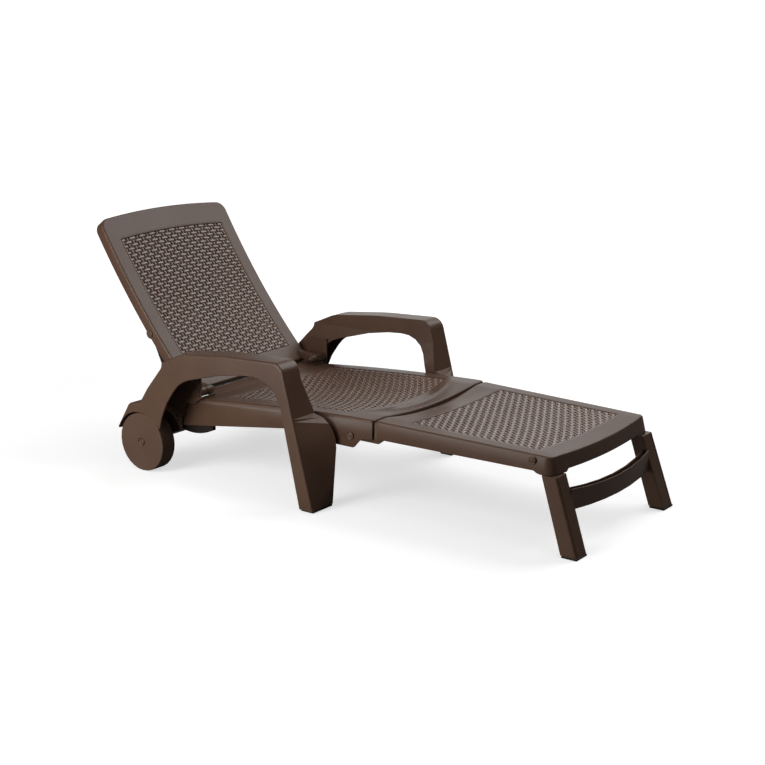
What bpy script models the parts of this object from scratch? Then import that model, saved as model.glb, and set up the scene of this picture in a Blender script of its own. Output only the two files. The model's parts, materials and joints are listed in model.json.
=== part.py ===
"""Sun lounger with arms, two wheels, a reclining back and a folding footrest.

Metres, +Z up, +X towards the feet, +Y to the left of someone lying on it.
The floor is Z = 0 and the origin lies on it, under the middle of the open lounger.
Inside this script X is measured from the recline hinge: every piece hangs on an empty
that stands on the floor under that hinge.
"""

import math

import bmesh
import bpy
from mathutils import Matrix, Vector

# Where the recline hinge stands, and how far each joint turns
RECLINE_AXIS_X = -0.4158
RECLINE_AXIS_Z = 0.248
BACK_ANGLE = math.radians(54.4)

# Gaps between pieces
TOUCH_GAP = 0.0003
PIN_CLEARANCE = 0.0004
SLIDE_GAP = 0.001
SEAM_GAP = 0.005
OVERRUN = 0.004

# Mouldings
PANEL_WALL = 0.003
RIB_WALL = 0.003
RIB_DEPTH = 0.012
SEAT_RIB_SHARES = (0.2, 0.5, 0.8)
FOOTREST_RIB_SHARES = (0.2, 0.55)
BACK_RIB_SHARES = (0.15, 0.5, 0.85)
EDGE_RADIUS = 0.006
WEAVE_RECESS = 0.0015
WEAVE_STEP = 0.002
ROLL_DEPTH = 0.014

# Seat
SEAT_REAR_X = 0.008
SEAT_FRONT_X = 0.638
SEAT_REAR_Z = 0.227
SEAT_FRONT_Z = 0.264
SEAT_CROWN = 0.006
SEAT_REAR_HALF = 0.280
SEAT_TAPER = 0.0075
SEAT_FRONT_HALF = SEAT_REAR_HALF - SEAT_TAPER
SEAT_DISH = 0.018
CREST_DIP = 0.006
SEAM_DIP = 0.014
DISH_START_SHARE = 0.35
DISH_END_SHARE = 0.55
BOW_SHARE = 0.85
SCOOP_MARGIN = 0.0575
SCOOP_HALF = SEAT_FRONT_HALF - SCOOP_MARGIN
SEAT_WEAVE_REAR_X = 0.079
SEAT_WEAVE_FRONT_X = 0.527
SEAT_WEAVE_BOW = 0.030
SEAT_WEAVE_FRONT_DIP = 0.012
CREST_X = 0.548
CREST_BOW = 0.052
SEAT_BORDER = 0.0375
SEAT_WEAVE_HALF = SEAT_FRONT_HALF - SEAT_BORDER
SKIRT_DRAFT_SHARE = 0.04
CHEEK_REAR_X = -0.103
CHEEK_BOTTOM_Z = 0.131
CHEEK_TOP_Z = 0.196
SKIRT_MIDDLE_X = 0.325
SKIRT_MIDDLE_Z = 0.190
LOBE_REAR_X = 0.500
LOBE_DEPTH = 0.033
SKIRT_FRONT_Z = 0.210
LOBE_FRONT_X = 0.600

# Footrest
FOOTREST_REAR_X = SEAT_FRONT_X + SEAM_GAP
FOOTREST_FRONT_X = 1.184
FOOTREST_REAR_Z = 0.262
FOOTREST_FRONT_Z = 0.251
FOOTREST_STEP = 0.004
FOOTREST_TAPER = 0.0195
FOOTREST_REAR_HALF = SEAT_FRONT_HALF - FOOTREST_STEP
FOOTREST_FRONT_HALF = FOOTREST_REAR_HALF - FOOTREST_TAPER
FOOTREST_BOW = 0.014
FOOTREST_DISH = 0.005
FOOTREST_SEAM_DIP = 0.020
FOOTREST_CORNER = 0.016
SEAM_SHARE = 0.22
LIP_X = 0.664
LIP_DIP = 0.013
FOOTREST_WEAVE_REAR_X = 0.730
FOOTREST_WEAVE_FRONT_X = 1.118
FOOTREST_REAR_BORDER = 0.0465
FOOTREST_FRONT_BORDER = 0.047
FOOTREST_WEAVE_REAR_HALF = FOOTREST_REAR_HALF - FOOTREST_REAR_BORDER
FOOTREST_WEAVE_FRONT_HALF = FOOTREST_FRONT_HALF - FOOTREST_FRONT_BORDER
FOOTREST_SKIRT_BOTTOM_Z = 0.212
FOOTREST_CORNER_BOTTOM_Z = 0.205
FOOTREST_CORNER_LENGTH = 0.046
FOOTREST_REAR_DRAFT_SHARE = 0.04
FOOTREST_FRONT_DRAFT_SHARE = 0.24

# Backrest, along and across its own chord
BACK_LENGTH = 0.622
BACK_FOOT = 0.020
BACK_CHORD_FOOT = 0.142
BACK_OFFSET = 0.053
BACK_SAG = 0.0116
BACK_STEP = 0.009
BACK_TAPER = 0.004
BACK_TOP_HALF = SEAT_REAR_HALF - BACK_STEP
BACK_FOOT_HALF = BACK_TOP_HALF - BACK_TAPER
BACK_BOW = 0.016
BACK_CORNER = 0.030
BACK_SKIRT = 0.033
BACK_WEAVE_TOP = 0.546
BACK_WEAVE_FOOT = 0.078
BACK_BORDER = 0.045
BACK_WEAVE_HALF = BACK_FOOT_HALF - BACK_BORDER
BACK_BOSS_EDGE = 0.003

# Wheels, which the arches of the arms follow
WHEEL_RADIUS = 0.089
WHEEL_X = -0.157
ARCH_GAP = 0.0035

# Arms, with the wheel arch and the middle legs. The shares run from the wheel axle to the toe,
# and from the fender's top to the armrest's or, on the fender, from the floor to its top.
# In the opening it runs from over the hinge. The third share is a fillet's, of the arm's length.
ARM_GAP = 0.0075
ARM_WIDTH = 0.0941
ARM_SHOULDER_STEP = 0.0225
ARM_INNER_Y = SEAT_REAR_HALF + ARM_GAP
ARM_OUTER_Y = ARM_INNER_Y + ARM_WIDTH
ARM_WALL = 0.004
ARM_HEIGHT = 0.410
FENDER_HEIGHT = 0.0325
FENDER_TOP_Z = 2 * WHEEL_RADIUS + ARCH_GAP + FENDER_HEIGHT
SHOULDER_LOW_SHARE = 0.286
SHOULDER_HIGH_SHARE = 0.694
ARM_TOE_X = 0.514
ARM_HEEL_X = 0.466
ARM_EDGE = 0.007
ARM_SOFT_EDGE = 0.002
DRUM_RADIUS = 0.080
DRUM_X = 0.446
DRUM_Z = 0.178
DRUM_TOE_X = 0.509
ARM_SKIN_SHARES = (
    (0.8435, 1.000, 0.054), (0.5320, 0.958, 0.745), (0.2787, 0.868, 0.134),
    (0.1535, 0.688, 0.009), (0.1520, 0.613, 0.030), (0.0580, 0.245, 0.224),
)
FENDER_SKIN_SHARES = ((0.0075, 1.000, 0.006), (-0.0596, 0.956, 0.004), (-0.1379, 0.577, 0.0024))
FENDER_OPENING_SHARES = ((0.1565, 0.962, 0.224),)
ARM_OPENING_SHARES = ((0.2608, 0.072, 0.179), (0.5470, 0.502, 0.596), (0.8092, 0.595, 0.149))
ARM_FRONT_LEVEL_SHARES = (0.629, 0.612, 0.576, 0.532, 0.485, 0.420, 0.183)
ARCH_REAR_ANGLE = math.radians(160)
ARCH_FRONT_ANGLE = math.radians(52)
ARCH_TIP_X = -0.070
ARCH_TIP_Z = 0.142
FOOT_PAD_HEIGHT = 0.006
FOOT_PLUG_HEIGHT = 0.012
FOOT_PLUG_INSET = 0.006

# Wheels and their axle
WHEEL_RECESS = 0.0076
WHEEL_OUTER_Y = ARM_OUTER_Y - WHEEL_RECESS
WHEEL_WIDTH = 0.050
WHEEL_WALL = 0.004
WHEEL_DISC = 0.005
WHEEL_RIM_EDGE = 0.004
WHEEL_RIBS = 6
WHEEL_HUB_RADIUS = 0.015
AXLE_RADIUS = 0.006
HUB_CAP_RADIUS = 0.0105
HUB_CAP_DEPTH = 0.004
WASHER_RADIUS = 0.013
WASHER_THICKNESS = 0.0015
CARRIER_PLATE = 0.004
CARRIER_RADIUS = 0.030
CARRIER_FRONT_X = -0.068
CARRIER_CORNER_Z = 0.123
CARRIER_MARGIN = 0.003
CARRIER_TOP_SHARE = 0.469

# Recline hinge
KNUCKLE_RADIUS = 0.0145
KNUCKLE_INSET = 0.018
KNUCKLE_WIDTH = 0.025
KNUCKLE_OUTER_Y = SEAT_REAR_HALF - KNUCKLE_INSET
KNUCKLE_INNER_Y = KNUCKLE_OUTER_Y - KNUCKLE_WIDTH
PIN_RADIUS = 0.005
RECLINE_DOME_RADIUS = 0.0125
RECLINE_DOME_LENGTH = 0.014
HEAD_THICKNESS = 0.0025
HEAD_EDGE = 0.0012

# Folding pins of the footrest and of the front legs
FOOTREST_PIN_X = 0.565
FOOTREST_PIN_Z = 0.210
FOOTREST_HEAD_RADIUS = 0.011
TONGUE_THICKNESS = 0.008
TONGUE_RADIUS = 0.013
TONGUE_ROOT_X = 0.720
LEG_PIN_X = 1.134
LEG_PIN_Z = 0.237
LEG_HEAD_RADIUS = 0.010
LEG_EAR_RADIUS = 0.0095
LEG_EAR_THICKNESS = 0.007

# Front leg frame
LEG_TOP_GAP = 0.0003
LEG_GROOVE = 0.002
LEG_TOP_X = 1.1625
LEG_TOP_DEPTH = 0.0415
LEG_SPREAD = 0.008
LEG_TOP_WIDTH = 0.053
LEG_TOP_OUTER_Y = FOOTREST_FRONT_HALF + LEG_SPREAD
LEG_TOP_INNER_Y = LEG_TOP_OUTER_Y - LEG_TOP_WIDTH
LEG_FOOT_X = 1.2275
LEG_FOOT_DEPTH = 0.0455
LEG_SPLAY = 0.007
LEG_FOOT_WIDTH = 0.054
LEG_FOOT_OUTER_Y = LEG_TOP_OUTER_Y + LEG_SPLAY
LEG_FOOT_INNER_Y = LEG_FOOT_OUTER_Y - LEG_FOOT_WIDTH
LEG_WALL = 0.004
RAIL_TOP_Z = 0.165
RAIL_BOTTOM_Z = 0.110
RAIL_SAG = 0.010
RAIL_BOW = 0.022
RAIL_DEPTH = 0.020
RAIL_WALL = 0.004

# Back stay, from the pin in the backrest down to the racks
STAY_PIN_X = -0.211
STAY_PIN_Z = 0.394
STAY_FOOT_X = -0.098
STAY_FOOT_Z = 0.152
STAY_INSET = 0.018
STAY_INNER_Y = BACK_FOOT_HALF - STAY_INSET
STAY_THICKNESS = 0.009
STAY_EYE_RADIUS = 0.0105
STAY_HALF_WIDTH = 0.0075
STAY_BAR_RADIUS = 0.0045
STAY_HEAD_RADIUS = 0.0125
STAY_TURN = math.radians(8.55)

# Racks
RACK_DEPTH = 0.012
RACK_TEETH = 7
RACK_TOOTH_DEPTH = 0.004
RACK_END = 0.022
RACK_RISE = 0.020
RACK_STEEP_SHARE = 0.25

# Screws that hold the arms to the seat
ARM_SCREW_RADIUS = 0.004
ARM_SCREW_HEAD = 0.009
ARM_BOSS_RADIUS = 0.014
REAR_SCREW_X = -0.085
REAR_SCREW_Z = 0.165
MIDDLE_SCREW_X = 0.455
MIDDLE_SCREW_Z = 0.215

# How finely round things are faceted
FILLET_TURN = math.radians(15)
FILLET_LENGTH = 0.003
FILLET_ROOM_SHARE = 0.98
ROLL_STEPS = 2
PIN_SIDES = 12
KNUCKLE_SIDES = 16
WHEEL_SIDES = 28
ARCH_STEPS = 8
BOW_STEPS = 6

# Finishes: colour, roughness, metallic
FINISHES = {
    "brown_resin": ((0.105, 0.078, 0.062), 0.45, 0.0),
    "dark_resin": ((0.030, 0.020, 0.016), 0.50, 0.0),
    "wheel_resin": ((0.090, 0.067, 0.054), 0.50, 0.0),
    "steel": ((0.55, 0.55, 0.55), 0.30, 1.0),
}


# Scene, materials and small helpers

def clear_scene():
    for found in list(bpy.data.objects):
        bpy.data.objects.remove(found)


def make_collection(name):
    made = bpy.data.collections.new(name)
    bpy.context.scene.collection.children.link(made)
    return made


def make_material(name, finish):
    colour, roughness, metallic = FINISHES[finish]
    made = bpy.data.materials.new(name)
    made.use_nodes = True
    shader = made.node_tree.nodes["Principled BSDF"]
    shader.inputs["Base Color"].default_value = (*colour, 1)
    shader.inputs["Roughness"].default_value = roughness
    shader.inputs["Metallic"].default_value = metallic
    return made


def make_empty(name, place, parent=None):
    made = bpy.data.objects.new(name, None)
    bpy.context.scene.collection.objects.link(made)
    made.parent = parent
    made.location = place
    return made


def add_piece(name, bm, finish, parent, cutter=False):
    """Turn a bmesh into a named object of the lounger, or into a cutter."""
    if not any(edge.is_boundary for edge in bm.edges):
        bmesh.ops.recalc_face_normals(bm, faces=bm.faces)
        if bm.calc_volume(signed=True) < 0:
            bmesh.ops.reverse_faces(bm, faces=bm.faces)
    mesh = bpy.data.meshes.new(name)
    bm.to_mesh(mesh)
    bm.free()
    made = bpy.data.objects.new(name, mesh)
    made.parent = parent
    if cutter:
        CUTTERS.objects.link(made)
        made.hide_render = True
        made.display_type = "WIRE"
    else:
        LOUNGER.objects.link(made)
        mesh.materials.append(make_material(name + "_finish", finish))
        mesh.shade_smooth()
        mesh.set_sharp_from_angle(angle=math.radians(35))
    return made


def combine(piece, tool, operation):
    """Cut the piece with a tool, or join the tool to it."""
    step = piece.modifiers.new(operation.lower() + "_" + tool.name, "BOOLEAN")
    step.object = tool
    step.operation = operation


def join(piece, name, bm, parent):
    combine(piece, add_piece(name, bm, None, parent, cutter=True), "UNION")


def cut(piece, name, bm, parent):
    combine(piece, add_piece(name, bm, None, parent, cutter=True), "DIFFERENCE")


# Outlines and lofts

def corner_reaches(corners):
    """How far each corner's arc runs along its sides, shortened where two arcs would meet."""
    count = len(corners)
    places = [Vector(corner[:2]) for corner in corners]
    reaches = []
    for index, (a, b, radius) in enumerate(corners):
        before = places[index - 1] - places[index]
        after = places[(index + 1) % count] - places[index]
        reaches.append(radius / math.tan(before.angle(after) / 2) if radius else 0)
    limits = [1] * count
    for index in range(count):
        wanted = reaches[index - 1] + reaches[index]
        room = (places[index] - places[index - 1]).length * FILLET_ROOM_SHARE
        if wanted > room:
            limits[index - 1] = min(limits[index - 1], room / wanted)
            limits[index] = min(limits[index], room / wanted)
    return [reach * limit for reach, limit in zip(reaches, limits)]


def corner_steps(corners):
    """How many facets each corner's arc gets: more where it turns further or is larger."""
    count = len(corners)
    places = [Vector(corner[:2]) for corner in corners]
    steps = []
    for index, (a, b, radius) in enumerate(corners):
        before = places[index - 1] - places[index]
        after = places[(index + 1) % count] - places[index]
        turn = math.pi - before.angle(after)
        steps.append(max(1, min(round(turn / FILLET_TURN), math.ceil(turn * radius / FILLET_LENGTH))))
    return steps


def fillet(corners, steps=None):
    """Round each corner (a, b, radius) of a closed outline with an arc."""
    points = []
    count = len(corners)
    steps = steps or corner_steps(corners)
    for index, reach in enumerate(corner_reaches(corners)):
        here = Vector(corners[index][:2])
        before = (Vector(corners[index - 1][:2]) - here).normalized()
        after = (Vector(corners[(index + 1) % count][:2]) - here).normalized()
        if reach == 0:
            points.append(here)
            continue
        half = before.angle(after) / 2
        centre = here + (before + after).normalized() * (reach / math.cos(half))
        first = here + before * reach - centre
        turn = first.angle_signed(here + after * reach - centre)
        for step in range(steps[index] + 1):
            angle = -turn * step / steps[index]
            spun = Vector((first.x * math.cos(angle) - first.y * math.sin(angle),
                           first.x * math.sin(angle) + first.y * math.cos(angle)))
            points.append(centre + spun)
    return points


def arc(x, z, radius, start, end, steps):
    """Points on a circle in the XZ plane, between two angles in radians."""
    found = []
    for step in range(steps + 1):
        angle = mix(start, end, step / steps)
        found.append(Vector((x + radius * math.cos(angle), z + radius * math.sin(angle))))
    return found


def offset(points, distances):
    """Move each point of a closed outline inwards by its own distance."""
    moved = []
    count = len(points)
    area = sum(points[i - 1].x * points[i].y - points[i].x * points[i - 1].y for i in range(count))
    side = 1 if area > 0 else -1
    for index, point in enumerate(points):
        back = (point - points[index - 1]).normalized()
        ahead = (points[(index + 1) % count] - point).normalized()
        along = (back + ahead).normalized()
        inward = Vector((-along.y, along.x)) * side
        spread = max(inward.dot(Vector((-ahead.y, ahead.x)) * side), 0.5)
        moved.append(point + inward * (distances[index] / spread))
    return moved


def loft_y(loops, sides):
    """Bridge equal outlines in the XZ plane, each at its own Y, and close both ends."""
    bm = bmesh.new()
    rings = []
    for outline, y in zip(loops, sides):
        rings.append([bm.verts.new((p.x, y, p.y)) for p in outline])
    for near, far in zip(rings, rings[1:]):
        for index in range(len(near)):
            bm.faces.new((near[index - 1], near[index], far[index], far[index - 1]))
    bm.faces.new(rings[0])
    bm.faces.new(rings[-1])
    bmesh.ops.recalc_face_normals(bm, faces=bm.faces)
    return bm


def slab_y(outline, y_from, y_to):
    """A flat outline in the XZ plane, extruded along Y."""
    bm = bmesh.new()
    face = bm.faces.new([bm.verts.new((p.x, y_from, p.y)) for p in outline])
    made = bmesh.ops.extrude_face_region(bm, geom=[face])["geom"]
    moved = [v for v in made if isinstance(v, bmesh.types.BMVert)]
    bmesh.ops.translate(bm, verts=moved, vec=(0, y_to - y_from, 0))
    bmesh.ops.recalc_face_normals(bm, faces=bm.faces)
    return bm


def cylinder_y(radius, x, z, y_from, y_to, sides=PIN_SIDES, end_radius=None):
    bm = bmesh.new()
    place = Matrix.Translation((x, (y_from + y_to) / 2, z)) @ Matrix.Rotation(math.radians(-90), 4, "X")
    bmesh.ops.create_cone(bm, cap_ends=True, segments=sides, radius1=radius,
                          radius2=radius if end_radius is None else end_radius,
                          depth=abs(y_to - y_from), matrix=place)
    return bm


def turned_y(profile, x, z, sides=PIN_SIDES):
    """Spin a closed half profile of (radius, y) points about an axis along Y."""
    bm = bmesh.new()
    verts = [bm.verts.new((x + radius, y, z)) for radius, y in profile]
    edges = [bm.edges.new((verts[i - 1], verts[i])) for i in range(len(verts))]
    edges = [e for e in edges if any(v.co.x != x for v in e.verts)]
    bmesh.ops.spin(bm, geom=verts + edges, cent=(x, 0, z), axis=(0, 1, 0), angle=2 * math.pi,
                   steps=sides, use_merge=True)
    bmesh.ops.remove_doubles(bm, verts=bm.verts, dist=TOUCH_GAP / 10)
    loose = [e for e in bm.edges if not e.link_faces]
    bmesh.ops.delete(bm, geom=loose, context="EDGES")
    bmesh.ops.recalc_face_normals(bm, faces=bm.faces)
    return bm


def box(x_from, x_to, y_from, y_to, z_from, z_to):
    bm = bmesh.new()
    size = Matrix.Diagonal((x_to - x_from, y_to - y_from, z_to - z_from, 1))
    centre = Matrix.Translation(((x_from + x_to) / 2, (y_from + y_to) / 2, (z_from + z_to) / 2))
    bmesh.ops.create_cube(bm, size=1, matrix=centre @ size)
    return bm


def smooth(share):
    held = min(max(share, 0), 1)
    return held * held * (3 - 2 * held)


def mix(start, end, share):
    return start + (end - start) * share


# Moulded panels: a flat blank is cut by stations, its edge rolled and drawn down, then bent

def panel_blank(outline, cuts_long, cuts_wide):
    """One face of the outline, divided along both directions so that it can be bent."""
    bm = bmesh.new()
    bm.faces.new([bm.verts.new((p.x, p.y, 0)) for p in outline])
    for place in cuts_long:
        everything = bm.verts[:] + bm.edges[:] + bm.faces[:]
        bmesh.ops.bisect_plane(bm, geom=everything, plane_co=(place, 0, 0), plane_no=(1, 0, 0))
    for place in cuts_wide:
        everything = bm.verts[:] + bm.edges[:] + bm.faces[:]
        bmesh.ops.bisect_plane(bm, geom=everything, plane_co=(0, place, 0), plane_no=(0, 1, 0))
    bmesh.ops.recalc_face_normals(bm, faces=bm.faces)
    if bm.faces[:][0].normal.z < 0:
        bmesh.ops.reverse_faces(bm, faces=bm.faces)
    return bm


def edge_normals(bm):
    """The outward direction at each vertex of the blank's edge."""
    outward = {}
    for vert in bm.verts:
        if not vert.is_boundary:
            continue
        total = Vector((0, 0, 0))
        for edge in vert.link_edges:
            if edge.is_boundary:
                face = edge.link_faces[0]
                along = (edge.verts[1].co - edge.verts[0].co).normalized()
                across = Vector((along.y, -along.x, 0))
                if across.dot((edge.verts[0].co + edge.verts[1].co) / 2 - face.calc_center_median()) < 0:
                    across = -across
                total += across
        outward[vert] = total.normalized()
    return outward


def draw_down(bm, outward, out, down):
    """Extrude the open edge outwards and down, and return the new edge's directions."""
    edge = [e for e in bm.edges if e.is_boundary]
    made = bmesh.ops.extrude_edge_only(bm, edges=edge)["geom"]
    fresh = [v for v in made if isinstance(v, bmesh.types.BMVert)]
    followed = {}
    for vert in fresh:
        for link in vert.link_edges:
            other = link.other_vert(vert)
            if other in outward and (other.co - vert.co).length == 0:
                followed[vert] = outward[other]
    for vert, direction in followed.items():
        vert.co += direction * out(vert.co) - Vector((0, 0, down(vert.co)))
    return followed


def roll_edge(bm, outward):
    """Roll the blank's edge over by a quarter round."""
    before = 0
    for step in range(1, ROLL_STEPS + 1):
        angle = math.pi / 2 * step / ROLL_STEPS
        out = EDGE_RADIUS * (math.sin(angle) - math.sin(before))
        down = EDGE_RADIUS * (math.cos(before) - math.cos(angle))
        outward = draw_down(bm, outward, lambda co: out, lambda co: down)
        before = angle
    return outward


def thicken(piece):
    wall = piece.modifiers.new("wall", "SOLIDIFY")
    wall.thickness = PANEL_WALL
    wall.offset = -1
    wall.use_even_offset = True


def stations(start, end, count):
    return [start + (end - start) * step / count for step in range(1, count)]


# Seat

def seat_share(x):
    return (x - SEAT_REAR_X) / (SEAT_FRONT_X - SEAT_REAR_X)


def seat_border_z(x):
    share = seat_share(x)
    return mix(SEAT_REAR_Z, SEAT_FRONT_Z, share) + 4 * SEAT_CROWN * share * (1 - share)


def scoop(y):
    return max(0, 1 - (y / SCOOP_HALF) ** 2)


def seat_dip(x, y):
    """How deep the seat is dished at a place of the flat blank: up to the crest, then down to the seam."""
    share = seat_share(x)
    front = seat_share(SEAT_WEAVE_FRONT_X)
    if x <= SEAT_WEAVE_FRONT_X:
        deep = mix(SEAT_DISH, SEAT_WEAVE_FRONT_DIP, smooth((share - DISH_END_SHARE) / (front - DISH_END_SHARE)))
    elif x <= CREST_X:
        deep = mix(SEAT_WEAVE_FRONT_DIP, CREST_DIP, (x - SEAT_WEAVE_FRONT_X) / (CREST_X - SEAT_WEAVE_FRONT_X))
    else:
        deep = mix(CREST_DIP, SEAM_DIP, min(1, (x - CREST_X) / (SEAT_FRONT_X - EDGE_RADIUS - CREST_X)))
    return deep * smooth(share / DISH_START_SHARE) * scoop(y)


def seat_bow(x, y):
    """How far a line across the blank bows forward: the woven field's edge a little, the crest more."""
    if x <= SEAT_WEAVE_FRONT_X:
        reach = SEAT_WEAVE_BOW * smooth(seat_share(x) / BOW_SHARE)
    elif x <= CREST_X:
        reach = mix(SEAT_WEAVE_BOW, CREST_BOW, (x - SEAT_WEAVE_FRONT_X) / (CREST_X - SEAT_WEAVE_FRONT_X))
    else:
        reach = CREST_BOW * max(0, (SEAT_FRONT_X - EDGE_RADIUS - x) / (SEAT_FRONT_X - EDGE_RADIUS - CREST_X))
    return reach * scoop(y)


def seat_half(x):
    return mix(SEAT_REAR_HALF, SEAT_FRONT_HALF, seat_share(x))


def in_weave(u, v, rear, front, half):
    return rear + WEAVE_STEP / 2 < u < front - WEAVE_STEP / 2 and abs(v) < half - WEAVE_STEP / 2


def seat_place(co):
    """Bend a point of the flat seat blank to its real place."""
    y = co.y * seat_half(co.x) / SEAT_REAR_HALF
    x = co.x + seat_bow(co.x, y)
    recess = 0
    if co.z == 0 and in_weave(co.x, co.y, SEAT_WEAVE_REAR_X, SEAT_WEAVE_FRONT_X, SEAT_WEAVE_HALF):
        recess = WEAVE_RECESS
    return Vector((x, y, seat_border_z(x) - seat_dip(co.x, y) + co.z - recess))


def seat_skirt_outline():
    """The side skirt seen from the side, from cheek to pin lobe."""
    top = ROLL_DEPTH / 2
    return fillet([
        (CHEEK_REAR_X, CHEEK_BOTTOM_Z, EDGE_RADIUS / 2),
        (SKIRT_MIDDLE_X, SKIRT_MIDDLE_Z, EDGE_RADIUS),
        (LOBE_REAR_X, FOOTREST_PIN_Z - LOBE_DEPTH, EDGE_RADIUS),
        (FOOTREST_PIN_X + FOOTREST_HEAD_RADIUS, FOOTREST_PIN_Z - LOBE_DEPTH, 2 * EDGE_RADIUS),
        (LOBE_FRONT_X, SKIRT_FRONT_Z - EDGE_RADIUS, EDGE_RADIUS),
        (SEAT_FRONT_X, SKIRT_FRONT_Z, EDGE_RADIUS / 2),
        (SEAT_FRONT_X, seat_border_z(SEAT_FRONT_X) - top, 0),
        (SKIRT_MIDDLE_X, seat_border_z(SKIRT_MIDDLE_X) - top, 0),
        (SEAT_REAR_X, seat_border_z(SEAT_REAR_X) - top, 0),
        (SEAT_REAR_X, SEAT_REAR_Z - ROLL_DEPTH, 0),
        (CHEEK_REAR_X, CHEEK_TOP_Z, EDGE_RADIUS),
    ])


def skirt_outer_y(x, z):
    return seat_half(x) + SKIRT_DRAFT_SHARE * (seat_border_z(x) - z)


def build_seat(base):
    corner = EDGE_RADIUS / 2
    inset = EDGE_RADIUS
    half = SEAT_REAR_HALF - inset
    outline = fillet([
        (SEAT_REAR_X + inset, -half, corner), (SEAT_FRONT_X - inset, -half, corner),
        (SEAT_FRONT_X - inset, half, corner), (SEAT_REAR_X + inset, half, corner)])
    long_cuts = stations(SEAT_REAR_X, SEAT_WEAVE_REAR_X, 2)
    long_cuts += [SEAT_WEAVE_REAR_X, SEAT_WEAVE_REAR_X + WEAVE_STEP]
    long_cuts += stations(SEAT_WEAVE_REAR_X, SEAT_WEAVE_FRONT_X, 5)
    long_cuts += [SEAT_WEAVE_FRONT_X - WEAVE_STEP, SEAT_WEAVE_FRONT_X]
    long_cuts += [CREST_X, mix(CREST_X, SEAT_FRONT_X, 1 / 2)]
    wide_cuts = []
    for side in (-1, 1):
        wide_cuts += [side * SEAT_WEAVE_HALF, side * (SEAT_WEAVE_HALF - WEAVE_STEP)]
    wide_cuts += stations(-SEAT_WEAVE_HALF, SEAT_WEAVE_HALF, BOW_STEPS)
    bm = panel_blank(outline, long_cuts, wide_cuts)
    outward = roll_edge(bm, edge_normals(bm))
    draw_down(bm, outward, lambda co: 0, lambda co: ROLL_DEPTH - EDGE_RADIUS)
    for vert in bm.verts:
        vert.co = seat_place(vert.co)
    seat = add_piece("seat_panel", bm, "brown_resin", base)
    thicken(seat)
    for side, hand in ((-1, "right"), (1, "left")):
        skirt = slab_y(seat_skirt_outline(), 0, PANEL_WALL)
        for vert in skirt.verts:
            outer = skirt_outer_y(vert.co.x, vert.co.z)
            vert.co.y = side * (outer - TOUCH_GAP - PANEL_WALL + vert.co.y)
        join(seat, "seat_skirt_" + hand, skirt, base)
        hole = PIN_RADIUS + PIN_CLEARANCE
        cut(seat, "footrest_pin_hole_" + hand, cylinder_y(
            hole, FOOTREST_PIN_X, FOOTREST_PIN_Z,
            side * (SEAT_FRONT_HALF - 3 * PANEL_WALL), side * (SEAT_FRONT_HALF + 3 * PANEL_WALL)), base)
        for where, x, z in screw_places():
            cut(seat, where + "_screw_hole_" + hand, cylinder_y(
                ARM_SCREW_RADIUS + PIN_CLEARANCE, x, z,
                side * (SEAT_REAR_HALF - 5 * PANEL_WALL), side * (SEAT_REAR_HALF + 3 * PANEL_WALL)), base)
    add_seat_ribs(seat, base)
    return seat


def rib_under(height_at, x, half, steps):
    """A thin rib across a panel, whose top follows the panel above it."""
    bm = bmesh.new()
    across = [mix(-half, half, step / steps) for step in range(steps + 1)]
    top = [(y, height_at(x, y) - PANEL_WALL / 2) for y in across]
    outline = top + [(y, z - RIB_DEPTH) for y, z in reversed(top)]
    face = bm.faces.new([bm.verts.new((x, y, z)) for y, z in outline])
    made = bmesh.ops.extrude_face_region(bm, geom=[face])["geom"]
    moved = [v for v in made if isinstance(v, bmesh.types.BMVert)]
    bmesh.ops.translate(bm, verts=moved, vec=(RIB_WALL, 0, 0))
    return bm


def seat_rib_height(x, y):
    return seat_border_z(x) - seat_dip(x, y) - WEAVE_RECESS


def add_seat_ribs(seat, base):
    reach = SEAT_WEAVE_HALF - WEAVE_STEP
    for number, share in enumerate(SEAT_RIB_SHARES):
        x = mix(SEAT_WEAVE_REAR_X, SEAT_WEAVE_FRONT_X, share)
        join(seat, "seat_rib_%d" % number, rib_under(seat_rib_height, x, reach, BOW_STEPS), base)


# Footrest

def footrest_share(x):
    return (x - FOOTREST_REAR_X) / (FOOTREST_FRONT_X - FOOTREST_REAR_X)


def footrest_half(x):
    return mix(FOOTREST_REAR_HALF, FOOTREST_FRONT_HALF, footrest_share(x))


def footrest_border_z(x):
    return mix(FOOTREST_REAR_Z, FOOTREST_FRONT_Z, footrest_share(x))


def footrest_dip(x, y):
    """How deep the footrest is dished: from the seam up to a lip, then on to the flat field."""
    if x < LIP_X:
        return mix(FOOTREST_SEAM_DIP, LIP_DIP, (x - FOOTREST_REAR_X) / (LIP_X - FOOTREST_REAR_X)) * scoop(y)
    rise = (footrest_share(x) - footrest_share(LIP_X)) / (SEAM_SHARE - footrest_share(LIP_X))
    return mix(LIP_DIP, FOOTREST_DISH, smooth(rise)) * scoop(y)


def footrest_bottom_z(x):
    corner = (x - (FOOTREST_FRONT_X - FOOTREST_CORNER_LENGTH)) / FOOTREST_CORNER
    return mix(FOOTREST_SKIRT_BOTTOM_Z, FOOTREST_CORNER_BOTTOM_Z, smooth(corner))


def footrest_draft(x):
    return mix(FOOTREST_REAR_DRAFT_SHARE, FOOTREST_FRONT_DRAFT_SHARE, footrest_share(x))


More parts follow.
